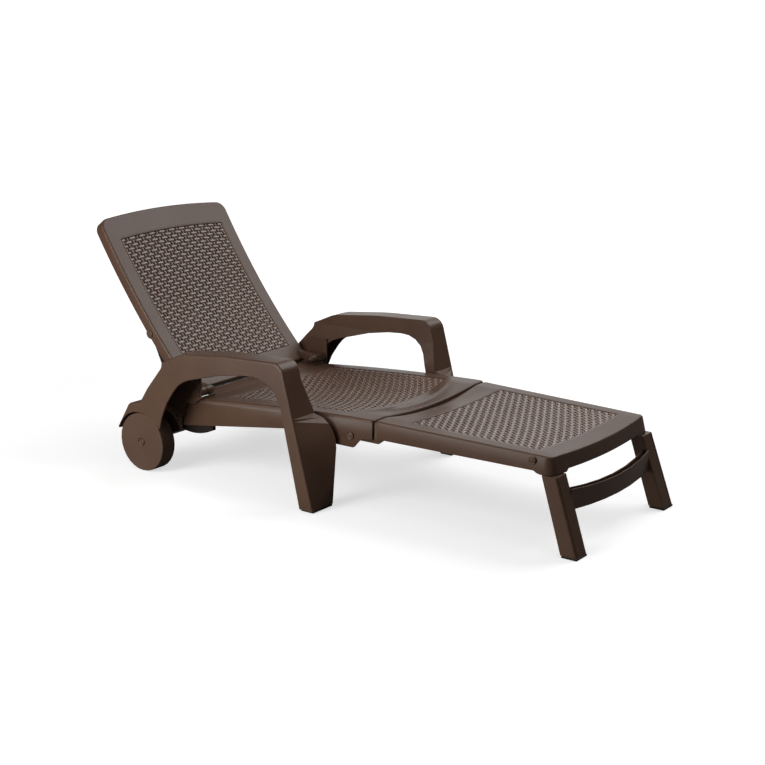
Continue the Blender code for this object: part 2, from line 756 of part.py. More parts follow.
def footrest_place(co):
    share = footrest_share(co.x)
    half = FOOTREST_REAR_HALF
    across = co.y / half
    y = co.y * footrest_half(co.x) / half
    x = co.x + FOOTREST_BOW * smooth(share) * max(0, 1 - across ** 2)
    recess = 0
    weave_half = mix(FOOTREST_WEAVE_REAR_HALF, FOOTREST_WEAVE_FRONT_HALF, share) * half / footrest_half(co.x)
    if co.z == 0 and in_weave(co.x, co.y, FOOTREST_WEAVE_REAR_X, FOOTREST_WEAVE_FRONT_X, weave_half):
        recess = WEAVE_RECESS
    return Vector((x, y, footrest_border_z(x) - footrest_dip(x, y) + co.z - recess))


def footrest_skirt_out(co):
    if co.x < FOOTREST_REAR_X + EDGE_RADIUS:
        return 0
    return footrest_skirt_down(co) * footrest_draft(co.x)


def footrest_skirt_down(co):
    if co.x < FOOTREST_REAR_X + EDGE_RADIUS / 2 and abs(co.y) < SCOOP_HALF:
        return ROLL_DEPTH - EDGE_RADIUS
    if co.x > FOOTREST_FRONT_X - EDGE_RADIUS and abs(co.y) < FOOTREST_REAR_HALF - 4 * FOOTREST_CORNER:
        return footrest_border_z(co.x) - EDGE_RADIUS - FOOTREST_SKIRT_BOTTOM_Z
    return footrest_border_z(co.x) - EDGE_RADIUS - footrest_bottom_z(co.x)


def build_footrest(hinge):
    inset = EDGE_RADIUS
    half = FOOTREST_REAR_HALF - inset
    tight = EDGE_RADIUS / 2
    outline = fillet([
        (FOOTREST_REAR_X + inset, -half, tight), (FOOTREST_FRONT_X - inset, -half, FOOTREST_CORNER - inset),
        (FOOTREST_FRONT_X - inset, half, FOOTREST_CORNER - inset), (FOOTREST_REAR_X + inset, half, tight)])
    long_cuts = [LIP_X, mix(LIP_X, FOOTREST_WEAVE_REAR_X, 1 / 2)]
    long_cuts += [FOOTREST_WEAVE_REAR_X, FOOTREST_WEAVE_REAR_X + WEAVE_STEP]
    long_cuts += stations(FOOTREST_WEAVE_REAR_X, FOOTREST_WEAVE_FRONT_X, 3)
    long_cuts += [FOOTREST_WEAVE_FRONT_X - WEAVE_STEP, FOOTREST_WEAVE_FRONT_X]
    long_cuts += [FOOTREST_FRONT_X - FOOTREST_CORNER_LENGTH, FOOTREST_FRONT_X - FOOTREST_CORNER_LENGTH / 2]
    weave = FOOTREST_WEAVE_REAR_HALF
    wide_cuts = stations(-weave, weave, BOW_STEPS)
    for side in (-1, 1):
        wide_cuts += [side * weave, side * (weave - WEAVE_STEP)]
    bm = panel_blank(outline, long_cuts, wide_cuts)
    outward = roll_edge(bm, edge_normals(bm))
    draw_down(bm, outward, footrest_skirt_out, footrest_skirt_down)
    axis = Vector((FOOTREST_PIN_X, 0, FOOTREST_PIN_Z))
    for vert in bm.verts:
        vert.co = footrest_place(vert.co) - axis
    footrest = add_piece("footrest_panel", bm, "brown_resin", hinge)
    thicken(footrest)
    hole = PIN_RADIUS + PIN_CLEARANCE
    pivot = Vector((LEG_PIN_X, 0, LEG_PIN_Z)) - axis
    for side, hand in ((-1, "right"), (1, "left")):
        join(footrest, "footrest_tongue_" + hand, tongue(side, axis), hinge)
        join(footrest, "footrest_knuckle_" + hand, cylinder_y(
            TONGUE_RADIUS - SLIDE_GAP, 0, 0, side * (tongue_outer_y() - TONGUE_THICKNESS / 2),
            side * (lobe_inner_y() - SLIDE_GAP), KNUCKLE_SIDES), hinge)
        join(footrest, "leg_pin_seat_" + hand, cylinder_y(
            LEG_HEAD_RADIUS, pivot.x, pivot.z, side * (leg_pin_seat_y() - PANEL_WALL),
            side * leg_pin_seat_y(), KNUCKLE_SIDES), hinge)
        cut(footrest, "tongue_eye_" + hand, cylinder_y(
            hole, 0, 0, side * (tongue_outer_y() - 2 * TONGUE_THICKNESS),
            side * (lobe_inner_y() + OVERRUN)), hinge)
        cut(footrest, "leg_pin_hole_" + hand, cylinder_y(
            hole, pivot.x, pivot.z, side * (leg_pin_seat_y() - 4 * PANEL_WALL),
            side * (leg_pin_seat_y() + OVERRUN)), hinge)
    for number, share in enumerate(FOOTREST_RIB_SHARES):
        x = mix(FOOTREST_WEAVE_REAR_X, FOOTREST_WEAVE_FRONT_X, share)
        rib = rib_under(footrest_rib_height, x, LEG_TOP_INNER_Y - RIB_DEPTH, BOW_STEPS)
        bmesh.ops.translate(rib, verts=rib.verts, vec=-axis)
        join(footrest, "footrest_rib_%d" % number, rib, hinge)
    return footrest


def footrest_rib_height(x, y):
    return footrest_border_z(x) - footrest_dip(x, y) - WEAVE_RECESS


def tongue_outer_y():
    return FOOTREST_REAR_HALF - PANEL_WALL - SLIDE_GAP


def lobe_inner_y():
    """The inner face of the seat's pin lobe, at the footrest pin."""
    return skirt_outer_y(FOOTREST_PIN_X, FOOTREST_PIN_Z) - PANEL_WALL - TOUCH_GAP


def leg_pin_seat_y():
    """The flat seat of the leg pin's head, proud of the drafted footrest skirt."""
    fall = footrest_border_z(LEG_PIN_X) - EDGE_RADIUS - LEG_PIN_Z + LEG_HEAD_RADIUS
    return footrest_half(LEG_PIN_X) + footrest_draft(LEG_PIN_X) * fall


def tongue(side, axis):
    """The hinge tongue: a plate under the seam, from the pin back into the footrest."""
    under = footrest_border_z(TONGUE_ROOT_X) - PANEL_WALL / 2
    rear = FOOTREST_REAR_X + PANEL_WALL + EDGE_RADIUS
    outline = arc(0, 0, TONGUE_RADIUS, math.radians(90), math.radians(270), ARCH_STEPS)
    outline += [
        Vector((rear - axis.x, -TONGUE_RADIUS)),
        Vector((TONGUE_ROOT_X - axis.x, under - RIB_DEPTH - axis.z)),
        Vector((TONGUE_ROOT_X - axis.x, under - axis.z)),
        Vector((rear - axis.x, footrest_border_z(rear) - PANEL_WALL / 2 - axis.z)),
        Vector((rear - axis.x, TONGUE_RADIUS + EDGE_RADIUS)),
    ]
    outer = tongue_outer_y()
    return slab_y(outline, side * (outer - TONGUE_THICKNESS), side * outer)


# Backrest, modelled as it lies flat behind the recline hinge, which is its origin

def back_face(along):
    """The height of the face over the hinge axis, at a place along the chord."""
    bend = 4 * BACK_SAG / (BACK_LENGTH - BACK_CHORD_FOOT) ** 2
    return -BACK_OFFSET - bend * (along - BACK_CHORD_FOOT) * (BACK_LENGTH - along)


def back_share(along):
    return (along - BACK_FOOT) / (BACK_LENGTH - BACK_FOOT)


def back_half(along):
    return mix(BACK_FOOT_HALF, BACK_TOP_HALF, back_share(along))


def back_place(co):
    half = BACK_TOP_HALF
    y = co.y * back_half(-co.x) / half
    bow = BACK_BOW * smooth(back_share(-co.x)) * max(0, 1 - (co.y / half) ** 2)
    recess = 0
    if co.z == 0 and in_weave(-co.x, co.y, BACK_WEAVE_FOOT, BACK_WEAVE_TOP, BACK_WEAVE_HALF):
        recess = WEAVE_RECESS
    return Vector((co.x - bow, y, back_face(-co.x) + co.z - recess))


def build_backrest(hinge):
    inset = EDGE_RADIUS
    half = BACK_TOP_HALF - inset
    outline = fillet([
        (-BACK_LENGTH + inset, -half, BACK_CORNER - inset), (-BACK_FOOT - inset, -half, inset),
        (-BACK_FOOT - inset, half, inset), (-BACK_LENGTH + inset, half, BACK_CORNER - inset)])
    long_cuts = [-BACK_WEAVE_FOOT, -BACK_WEAVE_FOOT - WEAVE_STEP, -BACK_FOOT - BACK_CORNER]
    long_cuts += [-BACK_WEAVE_TOP, -BACK_WEAVE_TOP + WEAVE_STEP, -BACK_LENGTH + BACK_CORNER]
    long_cuts += stations(-BACK_WEAVE_TOP, -BACK_WEAVE_FOOT, 5)
    wide_cuts = stations(-BACK_WEAVE_HALF, BACK_WEAVE_HALF, BOW_STEPS)
    for side in (-1, 1):
        wide_cuts += [side * BACK_WEAVE_HALF, side * (BACK_WEAVE_HALF - WEAVE_STEP)]
    bm = panel_blank(outline, long_cuts, wide_cuts)
    outward = roll_edge(bm, edge_normals(bm))
    draw_down(bm, outward, lambda co: 0, lambda co: BACK_SKIRT - EDGE_RADIUS)
    for vert in bm.verts:
        vert.co = back_place(vert.co)
    backrest = add_piece("backrest_panel", bm, "brown_resin", hinge)
    thicken(backrest)
    pin = stay_pin_flat()
    wall = back_half(-pin.x)
    hole = PIN_RADIUS + PIN_CLEARANCE
    for side, hand in ((-1, "right"), (1, "left")):
        join(backrest, "back_ear_" + hand, back_ear(side), hinge)
        cut(backrest, "back_ear_eye_" + hand, cylinder_y(
            hole, 0, 0, side * (KNUCKLE_INNER_Y - OVERRUN), side * (KNUCKLE_OUTER_Y + OVERRUN)), hinge)
        join(backrest, "stay_lobe_" + hand, cylinder_y(
            STAY_HEAD_RADIUS + BACK_BOSS_EDGE, pin.x, pin.y, side * (wall - PANEL_WALL),
            side * wall, KNUCKLE_SIDES), hinge)
        join(backrest, "stay_boss_" + hand, cylinder_y(
            STAY_EYE_RADIUS, pin.x, pin.y, side * (stay_outer_y() + TOUCH_GAP),
            side * (wall - PANEL_WALL / 2), KNUCKLE_SIDES), hinge)
        cut(backrest, "stay_pin_hole_" + hand, cylinder_y(
            hole, pin.x, pin.y, side * STAY_INNER_Y, side * (wall + OVERRUN)), hinge)
    for number, share in enumerate(BACK_RIB_SHARES):
        along = mix(BACK_WEAVE_FOOT, BACK_WEAVE_TOP, share)
        rib = rib_under(back_rib_height, -along, BACK_WEAVE_HALF - WEAVE_STEP, 2)
        join(backrest, "back_rib_%d" % number, rib, hinge)
    return backrest


def back_rib_height(x, y):
    return back_face(-x) - WEAVE_RECESS


def back_ear(side):
    """An ear that stands on the foot of the panel and reaches forward to the recline axis."""
    front = BACK_FOOT + EDGE_RADIUS
    rear = front + 2 * KNUCKLE_RADIUS
    outline = arc(0, 0, KNUCKLE_RADIUS, math.radians(160), math.radians(-50), ARCH_STEPS)
    outline += [Vector((-front, back_face(front) - PANEL_WALL / 2)),
                Vector((-rear, back_face(rear) - PANEL_WALL / 2))]
    return slab_y(outline, side * KNUCKLE_INNER_Y, side * KNUCKLE_OUTER_Y)


def turned(point, angle):
    """A point in the XZ plane turned about +Y, which brings +X down."""
    return Vector((point.x * math.cos(angle) + point.y * math.sin(angle),
                   -point.x * math.sin(angle) + point.y * math.cos(angle)))


def stay_pin_flat():
    """The stay pin seen from the hinge axis, with the back lying flat."""
    return turned(Vector((STAY_PIN_X, STAY_PIN_Z - RECLINE_AXIS_Z)), -BACK_ANGLE)


# Back stay and the racks that hold its foot

def stay_outer_y():
    return STAY_INNER_Y + STAY_THICKNESS


def stay_foot(share):
    """Where the stay's foot is, from upright (0) to flat (1)."""
    pin = Vector((STAY_PIN_X, STAY_PIN_Z - RECLINE_AXIS_Z))
    foot = Vector((STAY_FOOT_X - STAY_PIN_X, STAY_FOOT_Z - STAY_PIN_Z))
    carried = turned(pin, -BACK_ANGLE * share) + turned(foot, -(BACK_ANGLE + STAY_TURN) * share)
    return carried + Vector((0, RECLINE_AXIS_Z))


def build_stay(pivot):
    """A U: two flat arms with an eye at each end, joined by the bar that runs in the racks."""
    foot = turned(Vector((STAY_FOOT_X - STAY_PIN_X, STAY_FOOT_Z - STAY_PIN_Z)), -BACK_ANGLE)
    along = foot.normalized()
    across = Vector((-along.y, along.x)) * STAY_HALF_WIDTH
    bar_end = rack_outer_y() - TOUCH_GAP - SLIDE_GAP
    stay = add_piece("back_stay", cylinder_y(STAY_BAR_RADIUS, foot.x, foot.y, -bar_end, bar_end),
                     "dark_resin", pivot)
    for side, hand in ((-1, "right"), (1, "left")):
        sides = (side * STAY_INNER_Y, side * stay_outer_y())
        blade = slab_y([across, foot + across, foot - across, -across], *sides)
        join(stay, "stay_blade_" + hand, blade, pivot)
        ends = ((0, 0, STAY_EYE_RADIUS, "top"), (foot.x, foot.y, STAY_HALF_WIDTH, "foot"))
        for x, z, radius, where in ends:
            eye = cylinder_y(radius, x, z, *sides, KNUCKLE_SIDES)
            join(stay, "stay_%s_eye_%s" % (where, hand), eye, pivot)
        hole = cylinder_y(PIN_RADIUS + PIN_CLEARANCE, 0, 0, side * (STAY_INNER_Y - OVERRUN),
                          side * (stay_outer_y() + OVERRUN))
        cut(stay, "stay_pin_eye_" + hand, hole, pivot)
    return stay


def rack_outer_y():
    """The rack lies against the seat skirt, which comes closest at the rack's front end."""
    front = stay_foot(1) + Vector((RACK_END, RACK_END))
    return skirt_outer_y(front.x, front.y) - PANEL_WALL - 2 * TOUCH_GAP


def rack_outline():
    """Saw teeth under the path of the stay's foot, on a plate that hangs below the skirt."""
    drop = Vector((0, STAY_BAR_RADIUS + SLIDE_GAP))
    valley = Vector((0, RACK_TOOTH_DEPTH))
    first = stay_foot(0)
    last = stay_foot(1)
    points = [first - drop + Vector((-RACK_END, RACK_END - STAY_BAR_RADIUS)),
              first - drop - Vector((STAY_BAR_RADIUS + SLIDE_GAP, 0)) * 2]
    for tooth in range(RACK_TEETH):
        share = tooth / (RACK_TEETH - 1)
        points.append(stay_foot(share) - drop - valley)
        points.append(stay_foot(share + RACK_STEEP_SHARE / (RACK_TEETH - 1)) - drop)
    points.append(last - drop + Vector((RACK_END, RACK_END - STAY_BAR_RADIUS)))
    low = stay_foot(1 / 2) - drop - valley
    floor = [Vector((mix(last.x + RACK_END, first.x - RACK_END, step / BOW_STEPS),
                     low.y - RACK_TOOTH_DEPTH * 2 + RACK_RISE * (2 * step / BOW_STEPS - 1) ** 2))
             for step in range(BOW_STEPS + 1)]
    return points + floor


def build_racks(base):
    for side, hand in ((-1, "right"), (1, "left")):
        outer = rack_outer_y()
        slab = slab_y(rack_outline(), side * (outer - RACK_DEPTH), side * outer)
        add_piece("recline_rack_" + hand, slab, "dark_resin", base)


# Arms: armrest, wheel arch and middle leg in one hollow moulding, open towards the hand opening

def arm_x(share):
    return mix(WHEEL_X, ARM_TOE_X, share)


def arm_z(share):
    return mix(FENDER_TOP_Z, ARM_HEIGHT, share)


def arm_corners(table, floor, top):
    """Corners between two levels, as (x, z, fillet radius)."""
    length = ARM_TOE_X - WHEEL_X
    return [(arm_x(x), mix(floor, top, z), length * radius) for x, z, radius in table]


def drum_x(z):
    """The front edge of the leg's inner face, which swells like a drum under the armrest."""
    low = DRUM_Z - EDGE_RADIUS
    if z <= low:
        return mix(DRUM_TOE_X, DRUM_X + DRUM_RADIUS, z / low)
    return DRUM_X + math.sqrt(max(0, DRUM_RADIUS ** 2 - (z - DRUM_Z) ** 2))


def arm_corner_list():
    """Every corner of the outline, and how many of them lie on the skin of the moulding."""
    skin_corners = arm_corners(ARM_SKIN_SHARES, FENDER_TOP_Z, ARM_HEIGHT)
    front = skin_corners[0][0]
    corners = [(mix(ARM_TOE_X, front, share), ARM_HEIGHT * share, 0) for share in
               (0, *reversed(ARM_FRONT_LEVEL_SHARES))]
    corners += skin_corners + arm_corners(FENDER_SKIN_SHARES, 0, FENDER_TOP_Z)
    skin = len(corners)
    arch = arc(WHEEL_X, WHEEL_RADIUS, WHEEL_RADIUS + ARCH_GAP, ARCH_REAR_ANGLE, ARCH_FRONT_ANGLE, ARCH_STEPS)
    corners += [(point.x, point.y, 0) for point in arch]
    corners += [(ARCH_TIP_X, ARCH_TIP_Z, ARM_SOFT_EDGE)]
    corners += arm_corners(FENDER_OPENING_SHARES, 0, FENDER_TOP_Z)
    corners += arm_corners(ARM_OPENING_SHARES, RECLINE_AXIS_Z + 3 * KNUCKLE_RADIUS, ARM_HEIGHT)
    corners += [(ARM_HEEL_X, 0, 0)]
    return corners, skin


def arm_loop(skin_inset, open_inset, foot_z, inner):
    """One outline of the arm; on the inner face the leg's front edge is the drum's."""
    corners, skin = arm_corner_list()
    points = [Vector(corner[:2]) for corner in corners]
    if inner:
        for index in range(len(ARM_FRONT_LEVEL_SHARES)):
            points[index].x = drum_x(points[index].y)
    insets = [skin_inset if index < skin else open_inset for index in range(len(points))]
    if skin_inset > ARM_WALL:
        insets[skin - 2] = insets[skin - 1] = ARM_SOFT_EDGE
    moved = offset(points, insets)
    for foot in (0, -1):
        moved[foot].y = foot_z
    rounded = [(point.x, point.y, corner[2]) for point, corner in zip(moved, corners)]
    return fillet(rounded, corner_steps(corners))


def shoulder(z):
    """How far the inner face steps outwards, from the legs up to the armrest."""
    low = arm_z(SHOULDER_LOW_SHARE)
    return ARM_SHOULDER_STEP * smooth((z - low) / (arm_z(SHOULDER_HIGH_SHARE) - low))


def shift_shoulder(bm, outer_y):
    """Bend the inner face outwards above the shoulder; the outer face stays."""
    for step in range(3):
        level = arm_z(mix(SHOULDER_LOW_SHARE, SHOULDER_HIGH_SHARE, step / 2))
        everything = bm.verts[:] + bm.edges[:] + bm.faces[:]
        bmesh.ops.bisect_plane(bm, geom=everything, plane_co=(0, 0, level), plane_no=(0, 0, 1))
    for vert in bm.verts:
        share = min(1, (outer_y - vert.co.y) / (outer_y - ARM_INNER_Y - ARM_WALL))
        vert.co.y += shoulder(vert.co.z) * max(0, share)


def mirror_to(bm, side):
    for vert in bm.verts:
        vert.co.y *= side
    return bm


def arm_body():
    """Five outlines, from the inner face with its soft edges to the rounded outer face."""
    loops = []
    sides = []
    for step in (0, 2):
        angle = math.pi / 4 * step
        inset = ARM_SOFT_EDGE * (1 - math.sin(angle))
        loops.append(arm_loop(inset, inset, 0, True))
        sides.append(ARM_INNER_Y + ARM_SOFT_EDGE * (1 - math.cos(angle)))
    for step in (2, 1, 0):
        angle = math.pi / 4 * step
        share = 1 - math.sin(angle)
        loops.append(arm_loop(ARM_EDGE * share, ARM_SOFT_EDGE * share, 0, False))
        sides.append(ARM_OUTER_Y - ARM_EDGE * (1 - math.cos(angle)))
    bm = loft_y(loops, sides)
    shift_shoulder(bm, ARM_OUTER_Y - ARM_EDGE)
    return bm


def arm_pocket():
    """The hollow: one wall in from the skin, and out past the edge of the opening."""
    loops = [arm_loop(ARM_WALL, -2 * ARM_WALL, -OVERRUN, inner) for inner in (True, False)]
    bm = loft_y(loops, (ARM_INNER_Y + ARM_WALL, ARM_OUTER_Y - ARM_WALL))
    shift_shoulder(bm, ARM_OUTER_Y - ARM_WALL)
    return bm


def carrier_outline():
    """The inner plate that carries the recline hinge and closes the wheel arch."""
    front = KNUCKLE_RADIUS + CARRIER_MARGIN
    hinge = RECLINE_AXIS_Z
    top = max(arm_z(CARRIER_TOP_SHARE), hinge + KNUCKLE_RADIUS)
    points = [
        Vector((front, top)), Vector((front, hinge)),
        Vector((front - CARRIER_MARGIN, hinge - front)),
        Vector((-KNUCKLE_RADIUS, hinge - 2 * front)),
        Vector((CARRIER_FRONT_X, mix(CARRIER_CORNER_Z, hinge, 2 / 3))),
        Vector((CARRIER_FRONT_X, CARRIER_CORNER_Z)),
    ]
    points += arc(WHEEL_X, WHEEL_RADIUS, CARRIER_RADIUS, math.radians(20), math.radians(-160), BOW_STEPS)
    points += [
        Vector((WHEEL_X - CARRIER_RADIUS - WHEEL_HUB_RADIUS, mix(WHEEL_RADIUS, FENDER_TOP_Z, 1 / 3))),
        Vector((WHEEL_X, FENDER_TOP_Z - 2 * EDGE_RADIUS)),
        Vector((arm_x(ARM_SKIN_SHARES[3][0]), top)),
    ]
    return points


def carrier_outer_y():
    """The plate stands a little proud of the arm's inner face, so its outer face lies in the wall."""
    return ARM_INNER_Y + CARRIER_PLATE - TOUCH_GAP


def screw_places():
    return (("rear", REAR_SCREW_X, REAR_SCREW_Z), ("middle", MIDDLE_SCREW_X, MIDDLE_SCREW_Z))


def build_arm(side, hand, base):
    arm = add_piece("arm_" + hand, mirror_to(arm_body(), side), "brown_resin", base)
    cut(arm, "arm_pocket_" + hand, mirror_to(arm_pocket(), side), base)
    floor = ARM_INNER_Y - OVERRUN, ARM_OUTER_Y + OVERRUN
    cut(arm, "arm_foot_trim_" + hand, box(
        ARM_HEEL_X - 4 * OVERRUN, ARM_TOE_X + 4 * OVERRUN, side * floor[side < 0], side * floor[side > 0],
        -2 * OVERRUN, FOOT_PAD_HEIGHT + TOUCH_GAP), base)
    plate = slab_y(carrier_outline(), side * (ARM_INNER_Y - TOUCH_GAP), side * carrier_outer_y())
    join(arm, "carrier_plate_" + hand, plate, base)
    root = ARM_INNER_Y + CARRIER_PLATE / 2
    bosses = [
        ("hinge_boss", KNUCKLE_RADIUS, 0, RECLINE_AXIS_Z, KNUCKLE_OUTER_Y + SLIDE_GAP, root),
        ("axle_boss", WHEEL_HUB_RADIUS + SLIDE_GAP, WHEEL_X, WHEEL_RADIUS, root, axle_boss_y()),
    ]
    for where, x, z in screw_places():
        seat_face = skirt_outer_y(x, z - ARM_BOSS_RADIUS)
        bosses.append((where + "_screw_boss", ARM_BOSS_RADIUS, x, z, seat_face + TOUCH_GAP, root))
    for name, radius, x, z, y_from, y_to in bosses:
        boss = cylinder_y(radius, x, z, side * y_from, side * y_to, KNUCKLE_SIDES)
        join(arm, name + "_" + hand, boss, base)
    bores = [("hinge_pin", PIN_RADIUS, 0, RECLINE_AXIS_Z, KNUCKLE_OUTER_Y),
             ("axle", AXLE_RADIUS, WHEEL_X, WHEEL_RADIUS, ARM_INNER_Y)]
    for where, x, z in screw_places():
        bores.append((where + "_screw", ARM_SCREW_RADIUS, x, z, SEAT_REAR_HALF - OVERRUN))
    for name, radius, x, z, start in bores:
        end = axle_boss_y() + OVERRUN if name == "axle" else ARM_INNER_Y + ARM_WALL + OVERRUN
        tool = cylinder_y(radius + PIN_CLEARANCE, x, z, side * (start - OVERRUN), side * end)
        cut(arm, "%s_bore_%s" % (name, hand), tool, base)
    return arm


# Wheels and axle

def axle_boss_y():
    """The outer end of the axle boss, which the washer and the hub run against."""
    return WHEEL_OUTER_Y - WHEEL_WIDTH - WASHER_THICKNESS - 2 * TOUCH_GAP


def axle_end_y():
    return WHEEL_OUTER_Y - HUB_CAP_DEPTH


def build_wheel(side, hand, pivot):
    outer = WHEEL_OUTER_Y
    inner = outer - WHEEL_WIDTH
    bore = AXLE_RADIUS + PIN_CLEARANCE
    rim = WHEEL_RADIUS - WHEEL_WALL
    recess = HUB_CAP_RADIUS + SLIDE_GAP
    bottom = axle_end_y() - TOUCH_GAP
    profile = [
        (bore, inner), (bore, bottom), (recess, bottom), (recess, outer - WHEEL_RIM_EDGE / 4),
        (WHEEL_HUB_RADIUS, outer), (WHEEL_RADIUS - WHEEL_RIM_EDGE, outer),
        (WHEEL_RADIUS - WHEEL_RIM_EDGE / 4, outer - WHEEL_RIM_EDGE / 4),
        (WHEEL_RADIUS, outer - WHEEL_RIM_EDGE), (WHEEL_RADIUS, inner), (rim, inner),
        (rim, outer - WHEEL_DISC), (WHEEL_HUB_RADIUS, outer - WHEEL_DISC), (WHEEL_HUB_RADIUS, inner),
    ]
    bm = turned_y([(radius, side * y) for radius, y in profile], 0, 0, WHEEL_SIDES)
    wheel = add_piece("wheel_" + hand, bm, "wheel_resin", pivot)
    for number in range(WHEEL_RIBS):
        reach = (WHEEL_HUB_RADIUS - WHEEL_WALL / 2, rim + WHEEL_WALL / 2)
        deep = (inner + 2 * WHEEL_WALL, outer - WHEEL_DISC / 2)
        rib = box(*reach, side * deep[side < 0], side * deep[side > 0], -WHEEL_WALL / 2, WHEEL_WALL / 2)
        spin = Matrix.Rotation(2 * math.pi * number / WHEEL_RIBS, 3, "Y")
        bmesh.ops.rotate(rib, verts=rib.verts, cent=(0, 0, 0), matrix=spin)
        join(wheel, "wheel_rib_%s_%d" % (hand, number), rib, pivot)
    return wheel


def build_axle(base):
    end = axle_end_y() - TOUCH_GAP
    add_piece("wheel_axle", cylinder_y(AXLE_RADIUS, WHEEL_X, WHEEL_RADIUS, -end, end), "steel", base)
    for side, hand in ((-1, "right"), (1, "left")):
        start = axle_end_y()
        cap = turned_y([(0, side * start), (HUB_CAP_RADIUS, side * start),
                        (HUB_CAP_RADIUS, side * (start + HUB_CAP_DEPTH / 2)),
                        (HUB_CAP_RADIUS - HEAD_EDGE, side * (start + HUB_CAP_DEPTH)),
                        (0, side * (start + HUB_CAP_DEPTH + HEAD_EDGE / 2))],
                       WHEEL_X, WHEEL_RADIUS, KNUCKLE_SIDES)
        add_piece("hub_cap_" + hand, cap, "wheel_resin", base)
        y_from = axle_boss_y() + TOUCH_GAP
        ring = turned_y([(AXLE_RADIUS + PIN_CLEARANCE, side * y_from), (WASHER_RADIUS, side * y_from),
                         (WASHER_RADIUS, side * (y_from + WASHER_THICKNESS)),
                         (AXLE_RADIUS + PIN_CLEARANCE, side * (y_from + WASHER_THICKNESS))],
                        WHEEL_X, WHEEL_RADIUS, KNUCKLE_SIDES)
        add_piece("axle_washer_" + hand, ring, "steel", base)


# Pins and screws: a head outside, a shaft through both pieces and a collar or dome inside

def headed_pin(name, x, z, side, seat_y, head_radius, inner_y, inner_radius, finish, parent):
    """A pin whose head rests on the face at seat_y and whose collar ends beside inner_y."""
    head = seat_y + TOUCH_GAP
    collar = inner_y - TOUCH_GAP
    profile = [
        (0, head + HEAD_THICKNESS), (head_radius - HEAD_EDGE, head + HEAD_THICKNESS),
        (head_radius, head + HEAD_THICKNESS - HEAD_EDGE), (head_radius, head), (PIN_RADIUS, head),
        (PIN_RADIUS, collar), (inner_radius, collar), (inner_radius, collar - HEAD_THICKNESS),
        (0, collar - HEAD_THICKNESS),
    ]
    bm = turned_y([(radius, side * y) for radius, y in profile], x, z)
    add_piece(name, bm, finish, parent)


def build_recline_pin(side, hand, base):
    dome = KNUCKLE_INNER_Y - SLIDE_GAP
    head = carrier_outer_y() + TOUCH_GAP
    rim = KNUCKLE_RADIUS - HEAD_EDGE
    profile = [
        (0, head + HEAD_THICKNESS), (rim, head + HEAD_THICKNESS), (rim, head),
        (PIN_RADIUS, head), (PIN_RADIUS, dome),
    ]
    for step in range(5):
        angle = math.pi / 2 * step / 4
        profile.append((RECLINE_DOME_RADIUS * math.cos(angle), dome - RECLINE_DOME_LENGTH * math.sin(angle)))
    bm = turned_y([(radius, side * y) for radius, y in profile], 0, RECLINE_AXIS_Z)
    add_piece("recline_pin_" + hand, bm, "brown_resin", base)


def build_arm_screw(where, x, z, side, hand, base):
    head = skirt_outer_y(x, z + ARM_SCREW_HEAD) - PANEL_WALL - 3 * TOUCH_GAP
    end = ARM_INNER_Y + ARM_WALL
    profile = [
        (0, head - HEAD_THICKNESS), (ARM_SCREW_HEAD - HEAD_EDGE, head - HEAD_THICKNESS),
        (ARM_SCREW_HEAD, head), (ARM_SCREW_RADIUS, head), (ARM_SCREW_RADIUS, end), (0, end),
    ]
    bm = turned_y([(radius, side * y) for radius, y in profile], x, z)
    add_piece("%s_arm_screw_%s" % (where, hand), bm, "steel", base)


# Front leg frame: two channel legs, open to the rear, joined by a bowed channel rail

def leg_share(z):
    return 1 - z / leg_top_z()


def leg_top_z():
    return FOOTREST_CORNER_BOTTOM_Z - PANEL_WALL / 2 - LEG_TOP_GAP


def leg_section(z, margin, overrun):
    """The leg's section at a height: rear and front X, inner and outer Y, one wall in or none."""
    share = leg_share(z)
    rear = mix(LEG_TOP_X, LEG_FOOT_X, share)
    front = rear + mix(LEG_TOP_DEPTH, LEG_FOOT_DEPTH, share)
    inner = mix(LEG_TOP_INNER_Y, LEG_FOOT_INNER_Y, share)
    outer = mix(LEG_TOP_OUTER_Y, LEG_FOOT_OUTER_Y, share)
    return rear - overrun, front - margin, inner + margin, outer - margin


def loft_z(sections, levels):
    """Bridge equal outlines in the XY plane, each at its own height, and close both ends."""
    bm = bmesh.new()
    rings = [[bm.verts.new((x, y, z)) for x, y in outline] for outline, z in zip(sections, levels)]
    for low, high in zip(rings, rings[1:]):
        for index in range(len(low)):
            bm.faces.new((low[index - 1], low[index], high[index], high[index - 1]))
    bm.faces.new(rings[0])
    bm.faces.new(rings[-1])
    return bm


def leg_blank(side):
    levels = (FOOT_PAD_HEIGHT + TOUCH_GAP, leg_top_z())
    sections = []
    for z in levels:
        rear, front, inner, outer = leg_section(z, 0, 0)
        groove = LEG_GROOVE
        outline = [
            (rear, inner), (front - groove, inner), (front, inner + groove),
            (front, outer - 5 * groove), (front - groove, outer - 4 * groove), (front, outer - 3 * groove),
            (front, outer - groove), (front - groove, outer), (rear, outer),
        ]
        sections.append([(x, side * y) for x, y in outline])
    return loft_z(sections, levels)


def leg_oblong(side, z, margin, overrun):
    rear, front, inner, outer = leg_section(z, margin, overrun)
    return [(rear, side * inner), (front, side * inner), (front, side * outer), (rear, side * outer)]


def leg_hollow(side):
    levels = (FOOT_PAD_HEIGHT - OVERRUN, leg_top_z() - LEG_WALL)
    sections = []
    for z in levels:
        sections.append(leg_oblong(side, z, LEG_WALL, OVERRUN))
    return loft_z(sections, levels)


